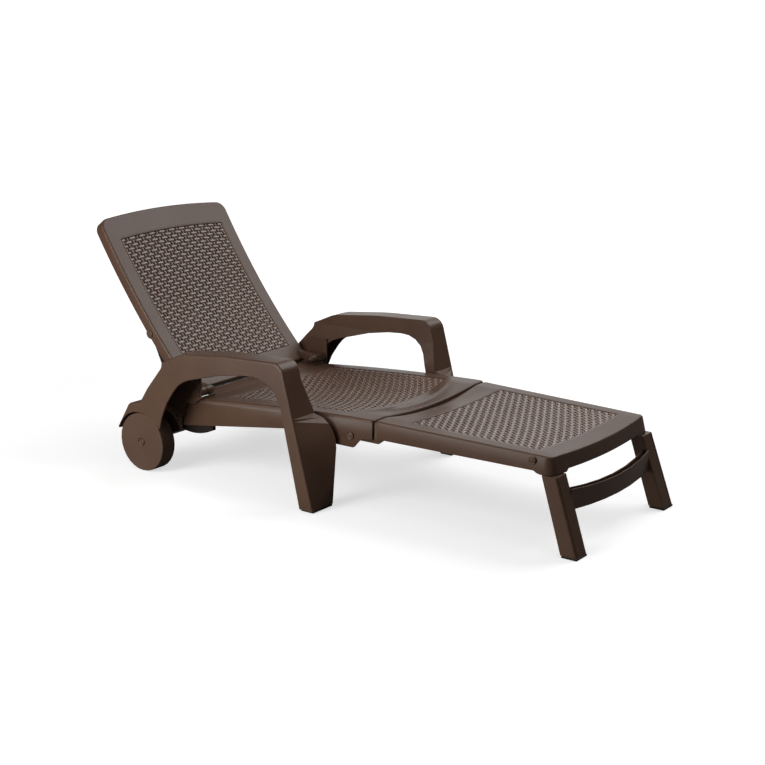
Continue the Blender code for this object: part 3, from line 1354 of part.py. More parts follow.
def rail_section(y, wall, top_margin):
    """The rail's section across one place: it bows forward and sags to the middle."""
    reach = rail_reach()
    bulge = 1 - (y / reach) ** 2
    middle = (RAIL_TOP_Z + RAIL_BOTTOM_Z) / 2
    front = leg_section(middle, 0, 0)[1] - LEG_WALL + RAIL_BOW * bulge
    rear = front - RAIL_DEPTH
    top = RAIL_TOP_Z - RAIL_SAG * bulge + top_margin
    bottom = RAIL_BOTTOM_Z - RAIL_SAG / 2 * bulge
    return [Vector((rear + wall, bottom + wall)), Vector((front - wall, bottom + wall)),
            Vector((front - wall, top)), Vector((rear + wall, top))]


def rail_reach():
    middle = (RAIL_TOP_Z + RAIL_BOTTOM_Z) / 2
    return leg_section(middle, 0, 0)[2] + LEG_WALL / 2


def leg_ear_outer_y():
    return footrest_half(LEG_PIN_X) - PANEL_WALL + TOUCH_GAP - SLIDE_GAP


def leg_ear():
    """The ear, from the leg pin down to the closed top of the leg."""
    seat = leg_top_z()
    rear, front = leg_section(seat, 0, 0)[:2]
    outline = arc(LEG_PIN_X, LEG_PIN_Z, LEG_EAR_RADIUS, math.radians(230), math.radians(20), ARCH_STEPS)
    root = seat - LEG_WALL / 2
    outline += [Vector((mix(rear, front, 1 / 2), root)), Vector((rear + LEG_WALL / 2, root))]
    return outline


def build_leg_frame(pivot):
    axis = Vector((LEG_PIN_X, 0, LEG_PIN_Z))
    reach = rail_reach()
    stations_y = [mix(-reach, reach, step / BOW_STEPS) for step in range(BOW_STEPS + 1)]

    def moved(bm):
        bmesh.ops.translate(bm, verts=bm.verts, vec=-axis)
        return bm

    rail = loft_y([rail_section(y, 0, 0) for y in stations_y], stations_y)
    frame = add_piece("front_leg_frame", moved(rail), "brown_resin", pivot)
    trough = loft_y([rail_section(y, RAIL_WALL, OVERRUN) for y in stations_y], stations_y)
    cut(frame, "rail_trough", moved(trough), pivot)
    for side, hand in ((-1, "right"), (1, "left")):
        outer = leg_ear_outer_y()
        join(frame, "leg_blank_" + hand, moved(leg_blank(side)), pivot)
        cut(frame, "leg_hollow_" + hand, moved(leg_hollow(side)), pivot)
        ear = slab_y(leg_ear(), side * (outer - LEG_EAR_THICKNESS), side * outer)
        join(frame, "leg_ear_" + hand, moved(ear), pivot)
        eye = cylinder_y(PIN_RADIUS + PIN_CLEARANCE, LEG_PIN_X, LEG_PIN_Z,
                         side * (outer - LEG_EAR_THICKNESS - OVERRUN), side * (outer + OVERRUN))
        cut(frame, "leg_ear_eye_" + hand, moved(eye), pivot)
    return frame


# Foot pads: a sole under the leg with a plug that fills its hollow end

def build_pad(name, sole, plug, axis, parent):
    for bm in (sole, plug):
        bmesh.ops.translate(bm, verts=bm.verts, vec=-axis)
    pad = add_piece(name, sole, "dark_resin", parent)
    soft = pad.modifiers.new("rounding", "BEVEL")
    soft.width = ARM_SOFT_EDGE
    soft.segments = 2
    join(pad, name + "_plug", plug, parent)


def build_pads(base, legs):
    levels = (FOOT_PAD_HEIGHT / 2, FOOT_PAD_HEIGHT + FOOT_PLUG_HEIGHT)
    for side, hand in ((-1, "right"), (1, "left")):
        near = ARM_INNER_Y + ARM_SOFT_EDGE
        far = ARM_OUTER_Y - ARM_EDGE
        inset = FOOT_PLUG_INSET
        sole = box(ARM_HEEL_X, DRUM_TOE_X, *sorted((side * near, side * far)), 0, FOOT_PAD_HEIGHT)
        plug = box(ARM_HEEL_X + inset, DRUM_TOE_X - inset,
                   *sorted((side * (near + inset), side * (far - inset))), *levels)
        build_pad("middle_foot_pad_" + hand, sole, plug, Vector((0, 0, 0)), base)
        rear, front, near, far = leg_section(0, 0, 0)
        sole = box(rear, front, *sorted((side * near, side * far)), 0, FOOT_PAD_HEIGHT)
        sections = []
        for z in levels:
            sections.append(leg_oblong(side, z, inset, -inset))
        axis = Vector((LEG_PIN_X, 0, LEG_PIN_Z))
        build_pad("front_foot_pad_" + hand, sole, loft_z(sections, levels), axis, legs)


def main():
    base = make_empty("base_frame", (RECLINE_AXIS_X, 0, 0))
    recline = make_empty("recline_axis", (0, 0, RECLINE_AXIS_Z), base)
    recline.rotation_euler = (0, BACK_ANGLE, 0)
    pin = stay_pin_flat()
    stay = make_empty("stay_axis", (pin.x, 0, pin.y), recline)
    fold = make_empty("footrest_axis", (FOOTREST_PIN_X, 0, FOOTREST_PIN_Z), base)
    legs = make_empty("leg_axis", (LEG_PIN_X - FOOTREST_PIN_X, 0, LEG_PIN_Z - FOOTREST_PIN_Z), fold)

    build_seat(base)
    build_footrest(fold)
    build_backrest(recline)
    build_stay(stay)
    build_racks(base)
    build_leg_frame(legs)
    build_pads(base, legs)
    build_axle(base)
    for side, hand in ((-1, "right"), (1, "left")):
        build_arm(side, hand, base)
        wheel = make_empty("wheel_axis_" + hand, (WHEEL_X, 0, WHEEL_RADIUS), base)
        build_wheel(side, hand, wheel)
        build_recline_pin(side, hand, base)
        for where, x, z in screw_places():
            build_arm_screw(where, x, z, side, hand, base)
        lobe = skirt_outer_y(FOOTREST_PIN_X, FOOTREST_PIN_Z - FOOTREST_HEAD_RADIUS) - TOUCH_GAP
        headed_pin("footrest_pin_" + hand, FOOTREST_PIN_X, FOOTREST_PIN_Z, side, lobe, FOOTREST_HEAD_RADIUS,
                   tongue_outer_y() - TONGUE_THICKNESS, LEG_EAR_RADIUS, "wheel_resin", base)
        headed_pin("leg_pin_" + hand, LEG_PIN_X - FOOTREST_PIN_X, LEG_PIN_Z - FOOTREST_PIN_Z, side,
                   leg_pin_seat_y(), LEG_HEAD_RADIUS, leg_ear_outer_y() - LEG_EAR_THICKNESS,
                   LEG_EAR_RADIUS, "wheel_resin", fold)
        headed_pin("stay_pin_" + hand, pin.x, pin.y, side, back_half(-pin.x), STAY_HEAD_RADIUS,
                   STAY_INNER_Y, STAY_EYE_RADIUS, "wheel_resin", recline)


clear_scene()
LOUNGER = make_collection("sun_lounger")
CUTTERS = make_collection("cutters")
main()
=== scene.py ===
"""Looks of the sun lounger: woven resin panels, moulded arms, wheels, pins, floor and light.

Metres, +Z up, +X towards the feet, +Y to the left of someone lying on it.
Panels and plates are shaped with X measured from the recline hinge, then moved to the frame.
"""

import json
import math

import bmesh
import bpy
from bpy.props import FloatProperty, FloatVectorProperty, PointerProperty
from mathutils import Matrix, Vector

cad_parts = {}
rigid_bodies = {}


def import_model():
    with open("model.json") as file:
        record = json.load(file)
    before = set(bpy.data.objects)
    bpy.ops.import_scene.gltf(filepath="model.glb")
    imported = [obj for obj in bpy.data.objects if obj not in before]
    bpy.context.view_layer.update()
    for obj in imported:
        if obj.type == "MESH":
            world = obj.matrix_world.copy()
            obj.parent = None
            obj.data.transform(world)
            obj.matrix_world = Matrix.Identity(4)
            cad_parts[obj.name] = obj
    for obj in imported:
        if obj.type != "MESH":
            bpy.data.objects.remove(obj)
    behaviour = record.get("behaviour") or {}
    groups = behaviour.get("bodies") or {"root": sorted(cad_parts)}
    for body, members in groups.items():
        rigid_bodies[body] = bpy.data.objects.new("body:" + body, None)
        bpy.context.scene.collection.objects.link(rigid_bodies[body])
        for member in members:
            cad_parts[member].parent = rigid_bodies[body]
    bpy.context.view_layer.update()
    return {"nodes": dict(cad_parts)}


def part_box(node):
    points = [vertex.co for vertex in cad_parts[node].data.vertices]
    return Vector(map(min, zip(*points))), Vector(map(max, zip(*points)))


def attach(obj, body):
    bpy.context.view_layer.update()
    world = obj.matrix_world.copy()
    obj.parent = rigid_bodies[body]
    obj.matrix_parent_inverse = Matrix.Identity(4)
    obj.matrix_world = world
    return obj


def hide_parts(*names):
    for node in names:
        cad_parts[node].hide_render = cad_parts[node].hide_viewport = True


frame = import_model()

bl_info = {
    "name": "Sun lounger",
    "version": (1, 0, 0),
    "blender": (4, 5, 0),
    "location": "View3D > Sidebar > Lounger",
    "description": "Woven resin sun lounger with a reclining back and a folding footrest",
    "category": "Add Mesh",
}

# Where the recline hinge stands, and how far the back is turned up from flat
HINGE_X = -0.4158
HINGE_Z = 0.248
BACK_ANGLE = math.radians(54.4)

# Mouldings
PANEL_WALL = 0.003
RIB_WALL = 0.003
RIB_DEPTH = 0.012
ROLL_RADIUS = 0.006
ROLL_DEPTH = 0.014
ROLL_STEPS = 4
FIELD_RECESS = 0.0045
FIELD_STEP = 0.002
SHELL_STEP = 0.011
SKIN_EDGE = 0.0016
SKIN_SINK = 0.0009

# Seat
SEAT_REAR_X = 0.008
SEAT_FRONT_X = 0.638
SEAT_REAR_Z = 0.227
SEAT_FRONT_Z = 0.264
SEAT_CROWN = 0.006
SEAT_REAR_HALF = 0.280
SEAT_FRONT_HALF = 0.2725
SEAT_DISH = 0.018
CREST_DIP = 0.006
SEAM_DIP = 0.014
DISH_START_SHARE = 0.35
DISH_END_SHARE = 0.55
BOW_SHARE = 0.85
SCOOP_HALF = 0.215
SEAT_FIELD_REAR_X = 0.079
SEAT_FIELD_FRONT_X = 0.527
SEAT_FIELD_BOW = 0.030
SEAT_FIELD_FRONT_DIP = 0.012
CREST_X = 0.548
CREST_BOW = 0.052
CREST_FOOT_X = 0.570
CREST_FOOT_DIP = 0.0132
LINE_REACH = 0.0004
SEAT_FIELD_HALF = 0.235
SEAT_CORNER = 0.003
SKIRT_DRAFT_SHARE = 0.04
CHEEK_REAR_X = -0.103
CHEEK_BOTTOM_Z = 0.131
CHEEK_TOP_Z = 0.196
SKIRT_MIDDLE_X = 0.325
SKIRT_MIDDLE_Z = 0.190
LOBE_REAR_X = 0.500
LOBE_DEPTH = 0.033
LOBE_FRONT_X = 0.600
SKIRT_FRONT_Z = 0.210
REAR_LIP_X = -0.042
REAR_LIP_RISE = 0.006
CHEEK_RISE = 0.010
CHEEK_SHOULDER_X = -0.030
CHEEK_SHOULDER_Z = 0.230
CHEEK_CROWN_X = -0.012
CHEEK_CROWN_Z = 0.2328
REAR_LIP_HALF = 0.232
UPSTAND_X = 0.0078
UPSTAND_LOW_Z = 0.218
UPSTAND_TOP_Z = 0.2345
UPSTAND_INNER_Y = 0.225
UPSTAND_OUTER_Y = 0.279
WEB_OUTER_Y = 0.2695
WEB_INNER_Y = 0.200
WEB_BOTTOM_Z = 0.226
SEAT_ROLL_X = SEAT_FRONT_X - ROLL_RADIUS
SEAT_FIELD = (SEAT_FIELD_REAR_X, SEAT_FIELD_FRONT_X, SEAT_FIELD_HALF)
SEAT_RIB_SHARES = (0.2, 0.5, 0.8)
SEAT_CORNER_STEPS = 1
SKIRT_STEPS = 12

# Footrest
FOOTREST_REAR_X = 0.643
FOOTREST_FRONT_X = 1.184
FOOTREST_REAR_Z = 0.262
FOOTREST_FRONT_Z = 0.251
FOOTREST_REAR_HALF = 0.2685
FOOTREST_FRONT_HALF = 0.249
FOOTREST_BOW = 0.014
FOOTREST_DISH = 0.005
FOOTREST_SEAM_DIP = 0.022
LIP_X = 0.664
LIP_DIP = 0.013
FOOTREST_CORNER = 0.016
SEAM_SHARE = 0.22
FOOTREST_FIELD_REAR_X = 0.730
FOOTREST_FIELD_FRONT_X = 1.118
FOOTREST_FIELD_HALF = 0.222
FOOTREST_SKIRT_Z = 0.212
FOOTREST_CORNER_Z = 0.205
FOOTREST_CORNER_LENGTH = 0.046
FOOTREST_REAR_DRAFT_SHARE = 0.04
FOOTREST_FRONT_DRAFT_SHARE = 0.24
FOOTREST_PIN_X = 0.565
FOOTREST_PIN_Z = 0.210
PIN_HEAD_RADIUS = 0.011
TONGUE_THICKNESS = 0.008
TONGUE_RADIUS = 0.013
TONGUE_ROOT_X = 0.720
TONGUE_START_ANGLE = 90
TONGUE_END_ANGLE = 270
LEG_PIN_X = 1.134
LEG_PIN_Z = 0.237
LEG_HEAD_RADIUS = 0.010
FOOTREST_FIELD = (FOOTREST_FIELD_REAR_X, FOOTREST_FIELD_FRONT_X, FOOTREST_FIELD_HALF)
FOOTREST_RIB_SHARES = (0.2, 0.55)
FOOTREST_RIB_HALF = 0.192
FOOTREST_CORNER_STEPS = 4

# Backrest, lying flat behind the hinge
BACK_LENGTH = 0.622
BACK_FOOT = 0.020
BACK_CHORD_FOOT = 0.142
BACK_OFFSET = 0.053
BACK_SAG = 0.0116
BACK_TOP_HALF = 0.271
BACK_FOOT_HALF = 0.267
BACK_BOW = 0.016
BACK_CORNER = 0.030
BACK_SKIRT = 0.033
BACK_FIELD_TOP = 0.546
BACK_FIELD_FOOT = 0.078
BACK_FIELD_HALF = 0.222
KNUCKLE_RADIUS = 0.0145
KNUCKLE_OUTER_Y = 0.262
KNUCKLE_INNER_Y = 0.237
STAY_PIN_X = -0.211
STAY_PIN_Z = 0.394
STAY_HEAD_RADIUS = 0.0125
STAY_EYE_RADIUS = 0.0105
STAY_OUTER_Y = 0.258
BACK_FIELD = (-BACK_FIELD_TOP, -BACK_FIELD_FOOT, BACK_FIELD_HALF)
BACK_RIB_SHARES = (0.85, 0.5, 0.15)
BACK_CORNER_STEPS = 8
BACK_FOOT_STEPS = 3
KNUCKLE_START_ANGLE = 160
KNUCKLE_END_ANGLE = -50

# Weave: stakes run along the lounger, strands run across and pass over every other stake
STAKE_PITCH = 0.0217
STRAND_PITCH = 0.0109
STAKE_HALF_WIDTH = 0.0042
STRAND_FILL_SHARE = 0.94
DIVE_START = 0.0058
DIVE_END = 0.0104
STAKE_POINTS = 10
STRAND_POINTS = 6

# Heights as shares of the weave's depth: a strand rises steeply beside a stake, then slowly to the next
STEEP_RISE_SHARE = 0.78
STRAND_RIM_SHARE = 0.36
STRAND_CROWN_POWER = 0.4
STAKE_MIDDLE_SHARE = 0.54
STAKE_WAVE_SHARE = 0.42
STAKE_ROUND_SHARE = 0.34
# The mask of painted shade in the weave's low places: none above the top share of the depth, full at the
# floor share; roughness rises with it too
HOLLOW_TOP_SHARE = 0.60
HOLLOW_FLOOR_SHARE = 0.22

# Pins, caps and racks
HUB_CAP_RADIUS = 0.0105
HEAD_THICKNESS = 0.0025
HEAD_EDGE = 0.0007
HEAD_PROUD = 0.0003
RING_DEPTH = 0.0008
HEAD_RINGS = ((0.16, 0), (0.06, -RING_DEPTH), (0.12, 0), (0.06, RING_DEPTH), (0.25, RING_DEPTH / 4))
HUB_RING_RADIUS = 0.0138
HUB_RING_BEAD = 0.0009
RACK_RISE = 0.020
RACK_WEB = 0.0008

# Fine shape
GAP = 0.0003
SLIDE_GAP = 0.001
MERGE = 1e-5
ROUNDING = 1e-6
BARREL_EDGE = 0.0008
LOBE_EDGE = 0.0003
FILLET_STEPS = 6
FILLET_REACH_SHARE = 0.49
ARC_STEPS = 14
RIB_STEPS = 12
BEVEL_SEGMENTS = 2
ROUND_SIDES = 40
RING_SIDES = 10

# Angles in degrees, over which an edge is softened or stays sharp in the shading
SOFTEN_ANGLE = 40
SHELL_SOFTEN_ANGLE = 60
SHADE_ANGLE = 35
WEAVE_SHADE_ANGLE = 80
CARRIED_SHADE_ANGLE = 30
DOME_SHADE_ANGLE = 50
FLAT_ANGLE = 0.4

# Rounding of the edges of small parts
SCREW_EDGE = 0.0002
AXLE_EDGE = 0.0003
WHEEL_EDGE = 0.0004
PIN_EDGE = 0.0004
STAY_EDGE = 0.0004
RACK_EDGE = 0.0005

# Finishes: how fine each pattern is, and how strongly it shows
GRAIN_SCALE = 900
GRAIN_DETAIL = 3
CLOUD_SCALE = 7
CLOUD_DETAIL = 4
DUST_SCALE = 14
DUST_DETAIL = 5
CANE_SCALE = 700
CANE_DETAIL = 2
CANE_STRETCH = (1, 0.08, 1)
STEEL_GRAIN_SCALE = 1500
STEEL_CLOUD_SCALE = 60
CLOUD_LOW = 0.35
CLOUD_HIGH = 0.65
DUST_SLOPE = 0.3
DUST_TONE = 0.55
DUST_MIX_SHARE = 0.5
DARK_TINT_SHARE = 0.93
LIGHT_TINT_SHARE = 1.07
TINT_ROUGHNESS = 0.06
# Painted shade in the weave's low places: how dark the colour goes there, and how fully it is taken
HOLLOW_SHADE_SHARE = 0.05
HOLLOW_SHADE_COVER_SHARE = 0.97
SMOOTH_SPECULAR = 0.24
WOVEN_SPECULAR = 0.6
RESIN_RELIEF = 0.0004
STEEL_DARK_SHARE = 0.85
STEEL_ROUGHNESS = 0.26
STEEL_TINT_ROUGHNESS = 0.14
STEEL_GRAIN = 0.08
STEEL_RELIEF = 0.0002

# Painted light: the weave takes a lighter copy of the same resin, to match how bright the lit weave looks
WOVEN_LIGHT_GAIN = 1.4

# The two sides of the lounger, with the sign of their Y
HANDS = (("right", -1), ("left", 1))


def smooth(share):
    held = min(max(share, 0), 1)
    return held * held * (3 - 2 * held)


def mix(start, end, share):
    return start + (end - start) * share


def between(value, start, end):
    """How far a value lies on the way from start to end, as a share."""
    return (value - start) / (end - start)


def arch(across, half):
    """A low arch across a panel: 1 in its middle, 0 from its half width on."""
    return max(0, 1 - (across / half) ** 2)


# Selecting and editing

def deselect():
    """Leave edit mode with nothing selected, so that an operator touches the new piece alone."""
    if bpy.context.object and bpy.context.object.mode != "OBJECT":
        bpy.ops.object.mode_set(mode="OBJECT")
    bpy.ops.object.select_all(action="DESELECT")


def pick(piece):
    deselect()
    piece.select_set(True)
    bpy.context.view_layer.objects.active = piece


def edit(piece, mode="VERT"):
    pick(piece)
    bpy.ops.object.mode_set(mode="EDIT")
    bpy.ops.mesh.select_mode(type=mode)
    bpy.ops.mesh.select_all(action="DESELECT")


def leave_edit():
    bpy.ops.object.mode_set(mode="OBJECT")


def apply_modifiers(piece):
    pick(piece)
    for modifier in list(piece.modifiers):
        bpy.ops.object.modifier_apply(modifier=modifier.name)


def edit_all(piece):
    edit(piece)
    bpy.ops.mesh.select_all(action="SELECT")


def tidy(piece):
    """Merge doubles and turn every face outwards."""
    edit_all(piece)
    bpy.ops.mesh.remove_doubles(threshold=MERGE)
    bpy.ops.mesh.normals_make_consistent(inside=False)
    leave_edit()


def soften(piece, width, angle=SOFTEN_ANGLE):
    """Round the sharp edges by a small bevel."""
    step = piece.modifiers.new("soft_edges", "BEVEL")
    step.width = width
    step.segments = BEVEL_SEGMENTS
    step.limit_method = "ANGLE"
    step.angle_limit = math.radians(angle)
    step.use_clamp_overlap = False
    step.harden_normals = False
    apply_modifiers(piece)


def crease(piece, on_line):
    """Keep the edges sharp whose two ends lie on a line of the shape."""
    verts = piece.data.vertices
    for edge in piece.data.edges:
        if all(on_line(verts[end].co) for end in edge.vertices):
            edge.use_edge_sharp = True


def shade(piece, angle=SHADE_ANGLE):
    pick(piece)
    bpy.ops.object.shade_smooth_by_angle(angle=math.radians(angle))


def settle(piece):
    """Bring the object to the origin, with its place in its mesh."""
    pick(piece)
    bpy.ops.object.transform_apply(location=True, rotation=True, scale=True)


def join(pieces, name):
    pick(pieces[0])
    for piece in pieces[1:]:
        piece.select_set(True)
    if len(pieces) > 1:
        bpy.ops.object.join()
    made = bpy.context.object
    made.name = name
    made.data.name = name
    return made


def finish_piece(piece, nodes, body, finish):
    """The piece stands for its CAD nodes, moves with their body and takes their finish."""
    piece.data.materials.clear()
    piece.data.materials.append(bpy.data.materials[finish])
    for face in piece.data.polygons:
        face.material_index = 0
    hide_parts(*nodes)
    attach(piece, body)


# Outlines, plates and rounds

def arc(x, z, radius, start, end, steps):
    """Points on a circle in the XZ plane, between two angles in degrees."""
    found = []
    for step in range(steps + 1):
        angle = math.radians(mix(start, end, step / steps))
        found.append(Vector((x + radius * math.cos(angle), z + radius * math.sin(angle))))
    return found


def fillet(corners):
    """Round each corner (x, z, radius) of a closed outline."""
    points = []
    count = len(corners)
    for index, (x, z, radius) in enumerate(corners):
        here = Vector((x, z))
        before = Vector(corners[index - 1][:2]) - here
        after = Vector(corners[(index + 1) % count][:2]) - here
        if radius == 0:
            points.append(here)
            continue
        half = before.angle(after) / 2
        reach = min(radius / math.tan(half), before.length * FILLET_REACH_SHARE,
                    after.length * FILLET_REACH_SHARE)
        before.normalize()
        after.normalize()
        centre = here + (before + after).normalized() * (reach / math.cos(half))
        first = here + before * reach - centre
        turn = first.angle_signed(here + after * reach - centre)
        for step in range(FILLET_STEPS + 1):
            spin = Matrix.Rotation(-turn * step / FILLET_STEPS, 2)
            points.append(centre + spin @ first)
    return points


def upright(x, z_low, z_top, radius=0):
    """The outline of a thin upright wall in front of x, with its top edges rounded."""
    return fillet([(x, z_low, 0), (x + PANEL_WALL, z_low, 0),
                   (x + PANEL_WALL, z_top, radius), (x, z_top, radius)])


def drawn_out(name, points, way):
    """A flat outline of points in space, drawn out to a body."""
    deselect()
    bpy.ops.mesh.primitive_circle_add(vertices=len(points), radius=1, fill_type="NGON")
    piece = bpy.context.object
    piece.name = name
    for vert, point in zip(piece.data.vertices, points):
        vert.co = point
    edit_all(piece)
    bpy.ops.mesh.extrude_region_move(TRANSFORM_OT_translate={"value": way})
    leave_edit()
    tidy(piece)
    return piece


def plate(name, outline, y_from, y_to):
    """An outline in the XZ plane, drawn out along Y."""
    return drawn_out(name, [(point.x, y_from, point.y) for point in outline], (0, y_to - y_from, 0))


def barrel(name, radius, x, z, y_from, y_to, edge=BARREL_EDGE):
    """A round boss along Y with softened rims."""
    deselect()
    bpy.ops.mesh.primitive_cylinder_add(
        vertices=ROUND_SIDES, radius=radius, depth=abs(y_to - y_from),
        location=(x, (y_from + y_to) / 2, z), rotation=(math.radians(90), 0, 0))
    piece = bpy.context.object
    piece.name = name
    settle(piece)
    soften(piece, edge)
    return piece


def pin_axis(node):
    """The middle of a turned node whose axis runs along Y."""
    low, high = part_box(node)
    return (low[0] + high[0]) / 2, (low[2] + high[2]) / 2


def outer_face(node, side):
    low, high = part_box(node)
    return high[1] if side > 0 else low[1]


def turned_head(node, radius, side):
    """A round head over the outer end of a pin: a rim, a ring groove and a low middle."""
    x, z = pin_axis(node)
    top = outer_face(node, side)
    head = barrel(node + "_head", radius, x, z, top - side * HEAD_THICKNESS, top + side * HEAD_PROUD,
                  HEAD_EDGE)
    edit(head, "FACE")
    shape = bmesh.from_edit_mesh(head.data)
    flat = max(shape.faces, key=lambda face: side * face.calc_center_median().y)
    flat.select = True
    bmesh.update_edit_mesh(head.data)
    for share, depth in HEAD_RINGS:
        bpy.ops.mesh.inset(thickness=radius * share, depth=depth)
    leave_edit()
    return head


def hub_ring(node, cap, side):
    """A raised ring on the wheel's disc, round the hub cap."""
    x, z = pin_axis(cap)
    deselect()
    bpy.ops.mesh.primitive_torus_add(
        major_segments=ROUND_SIDES, minor_segments=RING_SIDES,
        major_radius=HUB_RING_RADIUS, minor_radius=HUB_RING_BEAD,
        location=(x, outer_face(node, side) - side * HUB_RING_BEAD / 4, z),
        rotation=(math.radians(90), 0, 0))
    ring = bpy.context.object
    settle(ring)
    return ring


def rack_web(node, side):
    """The thin wall that closes the rack behind its teeth."""
    low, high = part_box(node)
    outline = [Vector((mix(low[0], high[0], share), low[2] + GAP + RACK_RISE * (2 * share - 1) ** 2))
               for share in [step / ARC_STEPS for step in range(ARC_STEPS + 1)]]
    outline += [Vector((high[0], high[2])), Vector((low[0], high[2]))]
    outer = outer_face(node, side)
    return plate(node + "_web", outline, outer - side * RACK_WEB, outer + side * GAP / 2)


# Panels: a flat grid takes its lines, its edge is rolled and drawn down, and all is bent

def lines(stops, step):
    """Places from stop to stop, none further apart than the step."""
    found = [stops[0]]
    for start, end in zip(stops, stops[1:]):
        count = max(1, math.ceil(abs(end - start) / step - ROUNDING))
        found += [mix(start, end, number / count) for number in range(1, count + 1)]
    return found


def flat_grid(name, along, across):
    """A grid whose lines lie at the given places along X and across Y."""
    deselect()
    bpy.ops.mesh.primitive_grid_add(x_subdivisions=len(along) - 1, y_subdivisions=len(across) - 1, size=2)
    piece = bpy.context.object
    piece.name = name
    for vert in piece.data.vertices:
        column = round((vert.co.x + 1) / 2 * (len(along) - 1))
        row = round((vert.co.y + 1) / 2 * (len(across) - 1))
        vert.co = (along[column], across[row], 0)
    return piece


def corner_pull(x, y, near_x, half, radius, side):
    """Pull a square corner of the grid round to its radius."""
    a = side * (x - near_x)
    b = abs(y) - (half - radius)
    if a <= 0 or b <= 0:
        return x, y
    shrink = max(a, b) / math.hypot(a, b)
    return near_x + side * a * shrink, math.copysign(half - radius + b * shrink, y)


def round_corners(piece, x_low, x_high, half, low_radius, high_radius):
    for vert in piece.data.vertices:
        x, y = vert.co.x, vert.co.y
        x, y = corner_pull(x, y, x_high - high_radius, half, high_radius, 1)
        x, y = corner_pull(x, y, x_low + low_radius, half, low_radius, -1)
        vert.co.x, vert.co.y = x, y


def edge_direction(x, y, x_low, x_high, half, low_radius, high_radius):
    """Straight out from the edge of the rounded blank."""
    if x > x_high - high_radius and abs(y) > half - high_radius:
        out = Vector((x - (x_high - high_radius), abs(y) - (half - high_radius)))
    elif x < x_low + low_radius and abs(y) > half - low_radius:
        out = Vector((x - (x_low + low_radius), abs(y) - (half - low_radius)))
    else:
        gaps = {"high": x_high - x, "low": x - x_low, "side": half - abs(y)}
        nearest = min(gaps, key=gaps.get)
        out = {"high": Vector((1, 0)), "low": Vector((-1, 0)), "side": Vector((0, 1))}[nearest]
    out.normalize()
    return Vector((out.x, math.copysign(out.y, y), 0))


def draw_edge(piece, blank, moves):
    """Extrude the open edge once for each move, a pair of functions for out and down."""
    edit(piece, "EDGE")
    bpy.ops.mesh.select_non_manifold(extend=False, use_wire=False, use_multi_face=False,
                                     use_non_contiguous=False, use_verts=False)
    for out, down in moves:
        bpy.ops.mesh.extrude_region_move(TRANSFORM_OT_translate={"value": (0, 0, 0)})
        leave_edit()
        for vert in piece.data.vertices:
            if vert.select:
                place = vert.co.copy()
                way = edge_direction(place.x, place.y, *blank)
                vert.co += way * out(place) - Vector((0, 0, down(place)))
        bpy.ops.object.mode_set(mode="EDIT")
    leave_edit()


def roll_moves():
    """A quarter round in equal steps."""
    moves = []
    for step in range(ROLL_STEPS):
        start = math.pi / 2 * step / ROLL_STEPS
        end = math.pi / 2 * (step + 1) / ROLL_STEPS
        out = ROLL_RADIUS * (math.sin(end) - math.sin(start))
        down = ROLL_RADIUS * (math.cos(start) - math.cos(end))
        moves.append((lambda place, out=out: out, lambda place, down=down: down))
    return moves


def bend(piece, place):
    """Take every point of a piece to its place."""
    for vert in piece.data.vertices:
        vert.co = place(vert.co)
    return piece


def move_piece(piece):
    """From measures taken at the hinge to the frame."""
    return bend(piece, lambda co: (co.x + HINGE_X, co.y, co.z))


def wall(piece):
    step = piece.modifiers.new("wall", "SOLIDIFY")
    step.thickness = PANEL_WALL
    step.offset = -1
    step.use_even_offset = True
    apply_modifiers(piece)


def field_stops(field):
    """The lines along a panel at which its woven field steps down and up."""
    rear, front, _ = field
    return [rear, rear + FIELD_STEP, front - FIELD_STEP, front]


def lines_across(field, half, corner, corner_steps):
    """The lines across a panel, alike on both sides: field, border and rounded corner."""
    field_half = field[2]
    side = lines([field_half, half - corner], SHELL_STEP)[1:]
    side += lines([half - corner, half], corner / corner_steps)[1:]
    middle = lines([-field_half + FIELD_STEP, field_half - FIELD_STEP], SHELL_STEP)
    return [-place for place in reversed(side)] + [-field_half] + middle + [field_half] + side


def sink_field(piece, field):
    """Lower the flat of the woven field under the border."""
    rear, front, half = field
    for vert in piece.data.vertices:
        inside = rear + FIELD_STEP / 2 < vert.co.x < front - FIELD_STEP / 2
        if inside and abs(vert.co.y) < half - FIELD_STEP / 2 and vert.co.z == 0:
            vert.co.z = -FIELD_RECESS


def panel_shell(name, along, across, blank, field, skirt, place, on_line=None):
    """The sheet of a panel: its blank gets a rolled edge and a skirt, is bent and given its wall."""
    shell = flat_grid(name, along, across)
    round_corners(shell, *blank)
    draw_edge(shell, blank, [*roll_moves(), skirt])
    sink_field(shell, field)
    bend(shell, place)
    if on_line:
        crease(shell, on_line)
    wall(shell)
    soften(shell, sizes().edge_softness, SHELL_SOFTEN_ANGLE)
    return shell


def side_sheet(name, outline, outer_y, side):
    """A sheet at one side of a panel, just inside the outer face of its skirt."""
    sheet = plate(name, outline, 0, PANEL_WALL)
    for vert in sheet.data.vertices:
        vert.co.y = side * (outer_y(vert.co.x, vert.co.z) - GAP - PANEL_WALL + vert.co.y)
    tidy(sheet)
    return sheet


def rib(name, face, x, half):
    """A thin rib across a panel, whose top lies in the panel above it."""
    across = [mix(-half, half, step / RIB_STEPS) for step in range(RIB_STEPS + 1)]
    top = [(x, y, face(x, y) - FIELD_RECESS - PANEL_WALL / 2) for y in across]
    bottom = [(x, y, z - RIB_DEPTH) for _, y, z in reversed(top)]
    return drawn_out(name, top + bottom, (RIB_WALL, 0, 0))


def ribs(name, shares, field, half, face):
    """The ribs under a panel, at shares of its woven field."""
    rear, front, _ = field
    return [rib("%s_rib_%d" % (name, number), face, mix(rear, front, share), half)
            for number, share in enumerate(shares)]


